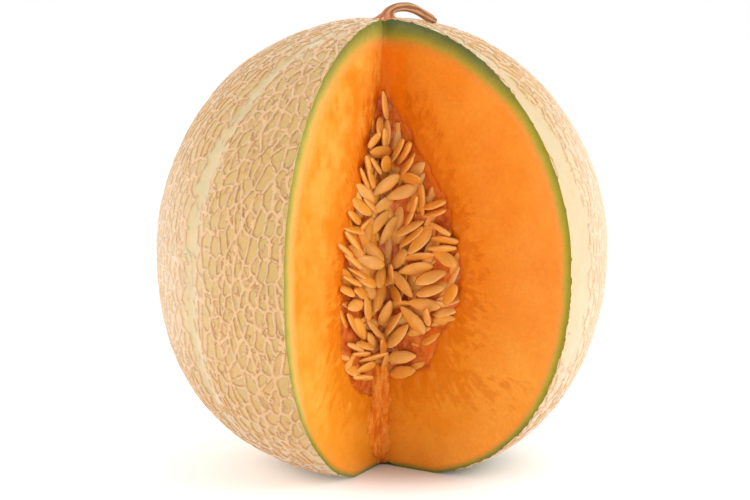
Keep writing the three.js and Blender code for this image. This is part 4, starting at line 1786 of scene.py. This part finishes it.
@dataclass(frozen=True)
class SeenSeed:
    """A seed as it looks from the front left, where the camera is.

    Attributes:
        across: Its middle to the right of the axis, in the upright plane through the axis.
        height: Height of its middle in that plane.
        turn: Where its pointed end is, in degrees from the right, turning to the left.
        length: Length that shows.
        width: Width that shows.
    """

    across: float
    height: float
    turn: float
    length: float
    width: float


# Each row is one seed, in the order of the class above.
SEEN_SEEDS = {
    Layer.BEHIND: (
        (0.7, 117.6, 95, 6, 2.7), (8.6, 107.6, 232, 6.7, 2.3), (1.4, 108, 300, 5.4, 4.4),
        (-6.6, 103.3, 114, 7.4, 1.7), (-4.3, 103.3, 110, 6.7, 2), (9.5, 103.3, 170, 8, 4),
        (2.3, 84.7, 236, 12.4, 4.2), (11, 93.3, 70, 6.7, 2), (9.3, 88.5, 60, 5.4, 2),
        (10.2, 82.2, 220, 11.1, 3), (20.3, 85.1, 150, 8, 2), (-4.6, 93.7, 135, 6, 2),
        (-10.3, 89.4, 140, 5.4, 3), (-11.1, 81.1, 130, 7.4, 1.7), (13.4, 75.2, 8, 10.7, 3),
        (2.9, 68.5, 92, 7.4, 2.7), (-0.7, 67.8, 70, 7.4, 4), (3.9, 62, 130, 7.4, 4),
        (6.1, 58, 10, 7.4, 3), (-12.8, 62.7, 170, 4.7, 3.7), (-11.1, 51.5, 120, 6.7, 2.7),
        (-7.9, 39.8, 175, 5.4, 2.3), (-10.1, 42.4, 160, 5.4, 2), (15.7, 53.3, 92, 5.4, 3),
        (-10.7, 73.6, 140, 7.4, 1.7), (-9.3, 69.2, 150, 7.4, 1.7), (-11.1, 66.4, 155, 6.7, 1.7),
        (-13.6, 77.5, 140, 6, 1.7), (0, 42, 100, 6, 3), (0.7, 36.9, 80, 5.4, 2.7),
    ),
    Layer.MIDDLE: (
        (-1.1, 121.8, 82, 6.7, 3), (-2.7, 117.2, 45, 6.7, 2.7), (5, 113, 240, 9.4, 2.5),
        (7.6, 112.2, 238, 8.4, 2.7), (-2.5, 107.8, 126, 6, 2), (-5.3, 107.8, 103, 6.7, 1.8),
        (13.8, 95.5, 273, 11.6, 2.9), (18.2, 93.7, 195, 8, 2.7), (18.2, 90.7, 194, 8.4, 2.7),
        (0, 93.7, 213, 10.1, 4), (-1.4, 87.4, 50, 11.4, 3.9), (9.5, 85.5, 27, 11.4, 3.4),
        (22, 81.1, 175, 9.4, 2.9), (21.1, 78.1, 182, 10.1, 2), (-6.5, 98.3, 138, 8.7, 4),
        (-8, 93.3, 145, 9.1, 4), (-10.5, 84.9, 175, 6.7, 3), (-5.8, 87, 40, 5.7, 2),
        (-4.3, 77.9, 135, 12.6, 4.7), (5.5, 73.9, 226, 9.1, 4.4), (11.8, 70.7, 190, 12.4, 4.4),
        (17.6, 63.2, 17, 11.7, 4.2), (22, 74.7, 148, 9.7, 4.7), (24, 61.3, 233, 8, 4.2),
        (-1.3, 60.2, 251, 10.4, 4.4), (3.6, 50.9, 52, 10.1, 2.9), (5.2, 46.4, 46, 11.3, 4.4),
        (-5.6, 56.6, 100, 8.7, 3), (-3.6, 44.2, 309, 6.7, 3.4), (-10, 57.5, 200, 5.4, 5.4),
        (-7.9, 62.2, 160, 5, 4), (-8.4, 48.9, 300, 8, 4.4), (-6.6, 42.9, 170, 6, 3),
        (-4.3, 38.3, 17, 12.7, 1.7), (6.7, 38.7, 4, 10.4, 4.7), (7.1, 33.2, 8, 9.1, 4.7),
        (-6.1, 34.8, 200, 6.7, 3.4), (-7.4, 31.2, 178, 6.7, 1.8),
    ),
    Layer.FRONT: (
        (0.7, 129.2, 99, 9.7, 2.5), (-0.9, 112.6, 180, 7.5, 4.7), (0.9, 100.7, 217, 12.4, 4.5),
        (6.9, 98.2, 199, 11.6, 5), (13.2, 80.8, 228, 12.7, 4.5), (-4.5, 73.2, 165, 10.1, 5.7),
        (17.5, 67.9, 21, 12.4, 4.4), (7, 65.1, 308, 11.4, 4.2), (-6.8, 67.1, 152, 9.7, 3.7),
        (14.6, 57.8, 173, 11.9, 4.7), (1, 54.7, 69, 9.4, 4), (10.8, 52.2, 132, 13.2, 4.5),
        (-2.9, 48.7, 311, 10.1, 2.7),
    ),
}


@dataclass(frozen=True)
class SeedShape:
    """One flat seed along X with its pointed end at +X and its faces towards Z."""

    length: float = 12.0
    width: float = 4.8
    thickness: float = 2.0
    stations: int = 15
    sides: int = 16
    fullness: float = 1.82
    point: float = 0.62
    round_end: tuple[float, float] = (1.9, 0.6)
    lens: float = 1.2
    end_thinness: float = 0.6
    tip_margin: float = 5.0

    def outline(self, share: Numbers) -> Numbers:
        """Share of the full width, from the pointed end to the round one."""
        fall, bluntness = self.round_end
        return self.fullness * share**self.point * (1.0 - share**fall) ** bluntness

    def build(self) -> Surface:
        """Makes the seed's surface, with where its margin is."""
        share = 0.5 - 0.5 * np.cos(np.pi * np.arange(1, self.stations + 1) / (self.stations + 1))
        turn = 2.0 * np.pi * np.arange(self.sides) / self.sides
        wide = self.outline(share)[:, None]
        edge = np.cos(turn)[None]
        flat = np.sin(turn)[None]
        across = 0.5 * self.width * wide * edge
        lens = np.sign(flat) * np.abs(flat) ** self.lens
        up = -0.5 * self.thickness * wide**self.end_thinness * lens
        along = np.broadcast_to((self.length * (0.5 - share))[:, None], across.shape)
        margin = np.maximum(edge**2, 1.0 - self.tip_margin * share[:, None])
        margin = np.broadcast_to(margin, across.shape)
        return ringed(np.stack([along, across, up], axis=-1), {"margin": margin})


@dataclass
class DepthMap:
    """How far the heap reaches towards the camera, by direction from it.

    Attributes:
        eye: Where the camera is.
        reach: Distance from the camera to the melon's axis, along the ground.
        step: Size of one cell.
    """

    eye: Points
    reach: float
    step: float = 0.45
    half: int = 260
    depths: Numbers = field(init=False)

    def __post_init__(self) -> None:
        """Starts with nothing in the map."""
        self.depths = np.full((2 * self.half, 2 * self.half), np.inf)

    def axes(self) -> tuple[Points, Points, Points]:
        """The camera's level direction to the axis, its right, and up."""
        ahead = unit(np.array([-self.eye[0], -self.eye[1], 0.0]))
        up = np.array([0.0, 0.0, 1.0])
        return ahead, np.cross(ahead, up), up

    def cells(self, points: Points) -> tuple[np.ndarray, np.ndarray, Numbers]:
        """The cell that each point lies in, and its distance."""
        ahead, right, up = self.axes()
        arms = points - self.eye
        scale = self.reach / (arms @ ahead) / self.step
        level = (self.eye[2] - FORM.equator) / self.step
        row, column = (
            np.clip(place.astype(int) + self.half, 1, 2 * self.half - 2)
            for place in (arms @ up * scale + level, arms @ right * scale)
        )
        return row, column, np.linalg.norm(arms, axis=1)

    def room(self, points: Points) -> Numbers:
        """How far each point stands in front of the heap."""
        row, column, distance = self.cells(points)
        return self.depths[row, column] - distance

    def mark(self, points: Points) -> None:
        """Adds points to the heap."""
        row, column, distance = self.cells(points)
        for down in (-1, 0, 1):
            for side in (-1, 0, 1):
                np.minimum.at(self.depths, (row + down, column + side), distance)


@dataclass(frozen=True)
class SeedHeap:
    """The seeds: a bed of them placed by rule, and the ones that show most laid on it."""

    shape: SeedShape = SeedShape()
    bed_count: int = 150
    bed_sink: tuple[float, float] = (0.9, 2.9)
    bed_top: float = 122.0
    bed_bottom: float = 37.0
    lift_most: float = 3.2
    sink_most: float = 1.4
    base_lift: float = 0.3
    overlap: float = 0.35
    seed: int = 12
    spots_tried: int = 10
    search: tuple[float, float] = (0.8, 1.2)
    search_steps: int = 40
    slope_step: float = 0.5
    widths: tuple[float, float] = (0.94, 1.06)
    thicknesses: tuple[float, float] = (0.85, 1.1)
    warp: float = 0.5
    curve: float = 0.6
    bend_middle: float = 0.1
    dents: Lumps = Lumps(2.2, 9, 0.09)
    dent_places: float = 99.0
    turned_away: float = 0.2
    bed_sizes: tuple[float, float] = (0.88, 1.02)
    bed_inset: float = 3.5
    bed_fan: tuple[float, float] = (48.0, 9.0)
    bed_turn: float = 0.6
    bed_roll: float = 0.9
    seen_sizes: tuple[float, float] = (0.97, 1.03)
    edge_on_width: float = 1.2
    edge_on_least: float = 0.12

    def front(self, across: Numbers, height: Numbers) -> Points:
        """Points on the front of the heap."""
        corner = FORM.corner(height)
        point = corner.copy()
        point[..., 0] = across
        point[..., 1] += FORM.pulp_front(across - corner[..., 0])
        return point

    def facing(self, across: float, height: float) -> Points:
        """The direction that the front of the heap looks in."""
        away = across - float(FORM.corner(height)[0])
        slope = FORM.pulp_front(away + self.slope_step) - FORM.pulp_front(away - self.slope_step)
        lean = (FORM.corner_crown - FORM.corner_base) / FORM.crown
        return unit(np.array([slope / (2.0 * self.slope_step), -1.0, lean]))

    def on_front(self, eye: Points, target: Points) -> Points:
        """Where the line from the camera to a target meets the front of the heap."""
        near, far = self.search
        for _ in range(self.search_steps):
            middle = (near + far) / 2.0
            point = lerp(eye, target, middle)
            behind = point[1] > self.front(point[0], point[2])[1]
            near, far = (near, middle) if behind else (middle, far)
        return lerp(eye, target, near)

    def placed(self, frame: Points, centre: Points, size: float, random: np.random.Generator) -> Surface:
        """One seed in its place.

        Args:
            frame: Its length, width and thickness directions.
            centre: Its middle.
            size: Its size as a share of the usual one.
            random: Where its own unevenness comes from.

        Returns:
            The seed's surface, with its own tone.
        """
        seed = self.shape.build()
        points = seed.points * [1.0, random.uniform(*self.widths), random.uniform(*self.thicknesses)]
        bend = (points[:, 0] / self.shape.length) ** 2 - self.bend_middle
        points[:, 2] += random.uniform(-self.warp, self.warp) * bend
        points[:, 1] += random.uniform(-self.curve, self.curve) * bend
        points = points + self.dents.at(points + random.uniform(0.0, self.dent_places, 3))[:, None]
        tone = np.full(len(points), random.uniform(0.0, 1.0))
        values = {"margin": seed.values["margin"], "tone": tone}
        return Surface(size * points @ frame + centre, seed.faces, values)

    def rest_on(self, heap: DepthMap, seed: Surface, least: float, most: float) -> Surface:
        """Moves a seed along the line of sight until it rests on the heap.

        Args:
            heap: What lies there already.
            seed: The seed, on the front of the heap.
            least: How far forward it has to go at least.
            most: How far forward it may go.

        Returns:
            The seed in its new place.
        """
        view = unit(seed.points.mean(axis=0) - heap.eye)
        behind = seed.normals() @ view > self.turned_away
        room = heap.room(seed.points[behind])
        needed = -np.quantile(room, self.overlap) if np.isfinite(room).all() else 0.0
        shift = np.clip(needed, least, most)
        moved = Surface(seed.points - view * shift, seed.faces, seed.values)
        heap.mark(moved.points[~behind])
        heap.mark(moved.middles()[(moved.normals()[moved.faces[:, 0]] @ view) < 0.0])
        return moved

    def bed(self, heap: DepthMap, random: np.random.Generator) -> list[Surface]:
        """The seeds placed by rule, each in the roomiest of several spots."""
        places: list[Points] = []
        seeds = []
        while len(seeds) < self.bed_count:
            best, best_room = None, -1.0
            for _ in range(self.spots_tried):
                height = random.uniform(self.bed_bottom, self.bed_top)
                side = random.choice((-1.0, 1.0))
                share = float(FORM.hollow_share(height))
                reach = float(FORM.pulp_distance(side * FORM.wedge, share)) - self.bed_inset
                across = side * random.uniform(0.0, max(reach, 0.0)) * math.sin(math.radians(FORM.wedge))
                spot = self.front(np.float64(across), np.float64(height))
                room = min([np.linalg.norm(spot - place) for place in places] or [FORM.radius])
                if room > best_room:
                    best, best_room = spot, room
            places.append(best)
            normal = self.facing(best[0], best[2])
            foot, spread = self.bed_fan
            lean = math.atan2(max(best[2] - foot, 0.0), abs(best[0]) + spread)
            lean += random.uniform(-self.bed_turn, self.bed_turn)
            outward = 1.0 if best[0] >= 0.0 else -1.0
            level = unit(np.cross([0.0, 0.0, 1.0], normal)) * outward
            along = math.cos(lean) * level + math.sin(lean) * np.cross(normal, level) * outward
            roll = random.uniform(-self.bed_roll, self.bed_roll)
            flat = unit(normal - along * (normal @ along))
            flat = math.cos(roll) * flat + math.sin(roll) * np.cross(along, flat)
            frame = np.stack([along, np.cross(flat, along), flat])
            centre = best - normal * random.uniform(*self.bed_sink)
            seed = self.placed(frame, centre, random.uniform(*self.bed_sizes), random)
            heap.mark(seed.points)
            seeds.append(seed)
        return seeds

    def seen(self, heap: DepthMap, random: np.random.Generator) -> list[Surface]:
        """The seeds that show most, laid one on another from the back."""
        _, right, up = heap.axes()
        seeds = []
        for layer, rows in SEEN_SEEDS.items():
            for row in rows:
                look = SeenSeed(*row)
                target = look.across * right + look.height * up
                spot = self.on_front(heap.eye, target)
                view = unit(spot - heap.eye)
                level = unit(np.cross(view, up))
                rise = np.cross(level, view)
                normal = self.facing(spot[0], spot[2])
                size = max(1.0, look.length / self.shape.length) * random.uniform(*self.seen_sizes)
                shown = min(look.length / (self.shape.length * size), 1.0)
                turn = math.radians(look.turn)
                flat_part = shown * (math.cos(turn) * level + math.sin(turn) * rise)
                deep_part = math.sqrt(1.0 - shown**2) * view
                along = min(
                    (flat_part + deep_part, flat_part - deep_part), key=lambda way: abs(way @ normal)
                )
                flat = unit(-view + along * (view @ along))
                room = self.shape.width * size - self.edge_on_width
                shown = min(max((look.width - self.edge_on_width) / room, self.edge_on_least), 1.0)
                roll = math.acos(shown)
                ways = [
                    math.cos(roll) * flat + side * math.sin(roll) * np.cross(along, flat)
                    for side in (-1.0, 1.0)
                ]
                flat = max(ways, key=lambda way: way @ normal)
                frame = np.stack([along, np.cross(flat, along), flat])
                seed = self.placed(frame, spot, size, random)
                least = self.base_lift + layer.value
                if layer is Layer.BEHIND:
                    least = -self.sink_most
                seeds.append(self.rest_on(heap, seed, least, self.lift_most))
        return seeds

    def build(self) -> list[bpy.types.Object]:
        """Makes all the seeds as one piece, which stands for the solid of the seeds."""
        random = np.random.default_rng(self.seed)
        studio = Studio()
        heap = DepthMap(studio.eye(), studio.camera_distance)
        total: Surface | None = None
        for seed in self.bed(heap, random) + self.seen(heap, random):
            total = seed if total is None else total.add(seed)
        piece = total.object("seed_heap", SeedFinish().make(), Slot.SEED)
        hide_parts("seeds")
        return [piece]


# Torn flesh


@dataclass(frozen=True)
class Strand:
    """Torn, stringy flesh that lies down the corner under the hollow.

    Attributes:
        edges: Rows of a height and the left and right edges there, across from the corner.
        thickness: How far it stands out between its edges.
        bulge: How far it fills the corner.
        buried: How deep its back lies in the flesh.
    """

    edges: tuple[tuple[float, float, float], ...] = (
        (0.6, -1.4, 1.0),
        (3, -2.6, 1.4),
        (5, -5.2, 2.1),
        (8.4, -6.1, 2.4),
        (12, -6.4, 2.1),
        (14, -6.9, 2.3),
        (18, -7, 2.4),
        (21, -7, 3.4),
        (23.3, -5.6, 3),
        (26.5, -4.7, 2.4),
        (31, -4.7, 2.1),
        (38, -3, 2),
        (41, -1.5, 1),
    )
    thickness: float = 2.8
    bulge: float = 1.6
    buried: float = 1.5
    most_under: float = 0.9
    spread: float = 1.2
    sway: Lumps = Lumps(7.0, 400, 1.4)
    string_size: tuple[float, float] = (1.7, 7.0)
    strings: Lumps = Lumps(1.0, 403, 2.4, 2)
    stringiness: float = 0.85
    lumps: Lumps = Lumps(2.4, 407, 0.6, 3, (1.0, 1.0, 0.6))
    width_waves: Lumps = Lumps(3.5, 411, 0.22, 2)
    end_lengths: tuple[float, float] = (3.0, 5.0)
    relief_share: float = 0.75
    sunk: float = 0.4
    relief_light_usual: float = 0.45
    relief_light_share: float = 0.35
    rows: int = 190
    columns: int = 60

    def relief(self, across: Numbers, height: Numbers) -> Numbers:
        """Upright strings and lumps, from about -1 to 1."""
        flat = np.zeros_like(height)
        swayed = across + self.sway.at(np.stack([flat, flat, height], axis=-1))
        wide, tall = self.string_size
        place = np.stack([swayed / wide, flat, height / tall], axis=-1)
        strings = 1.0 - np.abs(self.strings.at(place))
        return self.stringiness * strings + self.lumps.at(np.stack([across, flat, height], axis=-1))

    def build(self) -> list[bpy.types.Object]:
        """Makes the torn flesh, which stands for part of the melon's solid."""
        heights, left, right = np.array(self.edges, dtype=float).T
        height = np.linspace(heights[0], heights[-1], self.rows)
        left, right = (np.interp(height, heights, side) for side in (left, right))
        middle = (right + left) / 2.0
        mark = np.stack([np.zeros_like(height), np.zeros_like(height), height], axis=1)
        half = (right - left) / 2.0 * (1.0 + self.width_waves.at(mark))
        foot, top = self.end_lengths
        ends = smoothstep(heights[0], heights[0] + foot, height)
        ends = ends * smoothstep(heights[-1], heights[-1] - top, height)
        share = np.linspace(-self.spread, self.spread, self.columns)[None]
        across = middle[:, None] + half[:, None] * share
        height = np.broadcast_to(height[:, None], across.shape)
        relief = self.relief(across, height)
        out = ends[:, None] * self.thickness * (1.0 - share**2) + self.relief_share * relief
        out = np.maximum(out - self.sunk, -self.most_under)
        front = FORM.corner(height)
        front[..., 0] += across
        front[..., 1] -= np.hypot(across / math.tan(math.radians(FORM.wedge)), self.bulge)
        back = front + [0.0, self.buried, 0.0]
        front[..., 1] -= out
        rings = np.concatenate([front, back[:, ::-1]], axis=1)
        # How high each place stands, which the finish paints as highlight.
        lift = self.relief_light_usual + self.relief_light_share * relief
        lift = np.concatenate([lift, np.zeros_like(relief)], axis=1)
        piece = ringed(rings, {"lift": lift}).object("torn_flesh", TornFleshFinish().make(), Slot.FLESH)
        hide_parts("melon")
        return [piece]


# Stem


@dataclass(frozen=True)
class Stem:
    """The dry ridged stalk, arched over the crown."""

    line: tuple[tuple[float, float], ...] = (
        (2, -1.6),
        (2, 0.6),
        (3, 2.5),
        (5.4, 3.5),
        (8.5, 3.6),
        (11.4, 2.7),
        (14.4, 1),
        (16.8, -0.6),
        (18.6, -1.7),
    )
    turn: float = -14.7
    place: tuple[float, float, float] = (-1.8, -6.8, 0.0)
    radius: float = 1.45
    foot: float = 0.5
    flare: tuple[float, float] = (2.4, 1.3)
    flare_length: tuple[float, float] = (0.7, 2.2)
    flare_depth: float = 0.4
    flare_end: tuple[float, float] = (0.3, 0.2)
    ridges: int = 5
    ridge_depth: float = 0.15
    twist: float = 1.2
    mark_reach: float = 1.5
    mark_length: float = 30.0
    fibres: Lumps = Lumps(0.7, 501, 1.0, 2, (1.0, 1.0, 0.12))
    fibre_depth: float = 0.05
    lumps: Lumps = Lumps(3.0, 511, 0.07, 2)
    torn: Lumps = Lumps(1.6, 521, 0.3, 2)
    torn_length: float = 0.07
    narrowing: float = 0.3
    narrowing_at: tuple[float, float] = (0.84, 0.97)
    rounded_at: tuple[float, float] = (0.97, 1.0)
    tip_least: float = 0.04
    length: float = 24.0
    lift: tuple[float, float, float] = (0.5, 0.5, 0.3)
    stations: int = 150
    sides: int = 60

    def build(self) -> list[bpy.types.Object]:
        """Makes the stalk, which stands for the stem's solid."""
        across, above = np.array(self.line, dtype=float).T
        facing = math.radians(self.turn)
        points = [across * math.cos(facing), across * math.sin(facing), FORM.crown + above]
        path = curve_through(np.stack(points, axis=1) + self.place, self.stations)
        share = np.linspace(0.0, 1.0, self.stations)[:, None]
        turn = 2.0 * math.pi * np.arange(self.sides)[None] / self.sides
        twisted = turn + self.twist * share
        ridge = np.cos(self.ridges * twisted)
        above = path[:, 2:] - FORM.crown + self.foot
        flare = sum(wide * bell(above, length) for wide, length in zip(self.flare, self.flare_length))
        flare = flare * smoothstep(*self.flare_end, share)
        flare = flare * lerp(self.flare_depth, 1.0, np.cos(turn) ** 2)
        reach, length = self.mark_reach, self.mark_length * share
        places = np.broadcast_arrays(reach * np.cos(twisted), reach * np.sin(twisted), length)
        mark = np.stack(places, axis=-1)
        fibre = self.fibres.at(mark)
        taper = 1.0 - self.narrowing * smoothstep(*self.narrowing_at, share)
        tip = 1.0 - smoothstep(*self.rounded_at, share) ** 2
        taper = taper * np.sqrt(np.maximum(tip, self.tip_least))
        relief = self.ridge_depth * ridge + self.fibre_depth * fibre + self.lumps.at(mark)
        radii = (self.radius + flare) * (1.0 + relief)
        radii = radii * taper * (1.0 + bell(share, self.torn_length) * self.torn.at(mark))
        # Weights of how high each place stands, which the finish paints as highlight and shade.
        usual, by_ridge, by_fibre = self.lift
        values = {
            "lift": usual + by_ridge * ridge + by_fibre * fibre,
            "along": np.broadcast_to(share * self.length, radii.shape),
            "around": np.broadcast_to(turn * self.radius, radii.shape),
        }
        piece = tube(path, radii, values).object("stalk", StemFinish().make(), Slot.STEM)
        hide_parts("stem")
        return [piece]


# Studio


@dataclass(frozen=True)
class Light:
    """A large soft light that shines at the melon.

    Attributes:
        name: Its name.
        turn: Its angle from the front.
        height: Its height in metres.
        away: Its distance from the axis in metres.
        size: Its width in metres.
        power: Its strength in watts.
        aim: Height that it shines at, in metres.
    """

    name: str
    turn: float
    height: float
    away: float
    size: float
    power: float
    aim: float = 0.08

    def build(self) -> None:
        """Makes the light."""
        data = bpy.data.lights.new(self.name, "AREA")
        data.shape = "DISK"
        data.size = self.size
        data.energy = self.power
        light = bpy.data.objects.new(self.name, data)
        light.location = polar(self.turn, self.away, self.height)
        aim = Vector((0.0, 0.0, self.aim)) - light.location
        light.rotation_euler = aim.to_track_quat("-Z", "Y").to_euler()
        bpy.context.scene.collection.objects.link(light)


@dataclass(frozen=True)
class Studio:
    """Floor, lights and camera."""

    camera_distance: float = 650.0
    camera_height: float = 160.0
    camera_turn: float = -14.75
    camera_fall: float = 7.23
    lens: float = 88.0
    sensor: float = 36.0
    shift_pixels: float = -8.0
    photo_width: float = 750.0
    floor_size: float = 8.0
    lights: tuple[Light, ...] = (
        Light("key", 58.0, 0.6, 1.1, 1.0, 9.0),
        Light("fill", -80.0, 0.6, 1.2, 1.0, 5.0),
    )
    front_light: float = 0.55
    front_to_back: tuple[float, float] = (-0.7, 0.2)

    def eye(self) -> Points:
        """Where the camera is, from the melon's axis."""
        return polar(self.camera_turn, self.camera_distance, self.camera_height)

    def make_camera(self) -> None:
        """Makes the camera at the photograph's viewing angle."""
        data = bpy.data.cameras.new("camera")
        data.lens = self.lens
        data.sensor_width = self.sensor
        data.shift_x = self.shift_pixels / self.photo_width
        camera = bpy.data.objects.new("camera", data)
        camera.location = (self.eye() + AXIS_IN_FRAME) * METRES
        camera.rotation_euler = (
            math.radians(90.0 - self.camera_fall),
            0.0,
            math.radians(self.camera_turn),
        )
        bpy.context.scene.collection.objects.link(camera)
        bpy.context.scene.camera = camera

    def make_floor(self) -> None:
        """Makes the plain floor."""
        half = self.floor_size / 2.0
        mesh = bpy.data.meshes.new("floor")
        corners = [(-half, -half, 0.0), (half, -half, 0.0), (half, half, 0.0), (-half, half, 0.0)]
        mesh.from_pydata(corners, [], [(0, 1, 2, 3)])
        mesh.materials.append(FloorFinish().make())
        floor = bpy.data.objects.new("floor", mesh)
        bpy.context.scene.collection.objects.link(floor)

    def build(self) -> None:
        """Makes the floor, the lights, the surroundings and the camera."""
        self.make_floor()
        for light in self.lights:
            light.build()
        world = bpy.data.worlds.new("studio")
        world.use_nodes = True
        nodes, links = world.node_tree.nodes, world.node_tree.links
        way = nodes.new("ShaderNodeSeparateXYZ")
        links.new(nodes.new("ShaderNodeTexCoord").outputs["Generated"], way.inputs[0])
        level = nodes.new("ShaderNodeMapRange")
        level.interpolation_type = "SMOOTHSTEP"
        links.new(way.outputs["Y"], level.inputs["Value"])
        levels = (*self.front_to_back, self.front_light)
        for name, value in zip(("From Min", "From Max", "To Min"), levels):
            level.inputs[name].default_value = value
        nodes["Background"].inputs["Color"].default_value = (1.0, 1.0, 1.0, 1.0)
        links.new(level.outputs[0], nodes["Background"].inputs["Strength"])
        bpy.context.scene.world = world
        self.make_camera()


def write_sizes() -> None:
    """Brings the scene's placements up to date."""
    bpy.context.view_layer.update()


def main() -> None:
    """Builds the pieces in order and reports each."""
    logging.basicConfig(level=logging.INFO, format="%(name)s: %(message)s")
    bpy.context.scene.view_settings.view_transform = "Standard"
    Studio().build()
    for assembly in (MelonBody(), Strand(), Pulp(), SeedHeap(), Stem()):
        for piece in assembly.build():
            LOG.info("%s has %d faces", piece.name, len(piece.data.polygons))
    write_sizes()


if __name__ == "__main__":
    main()
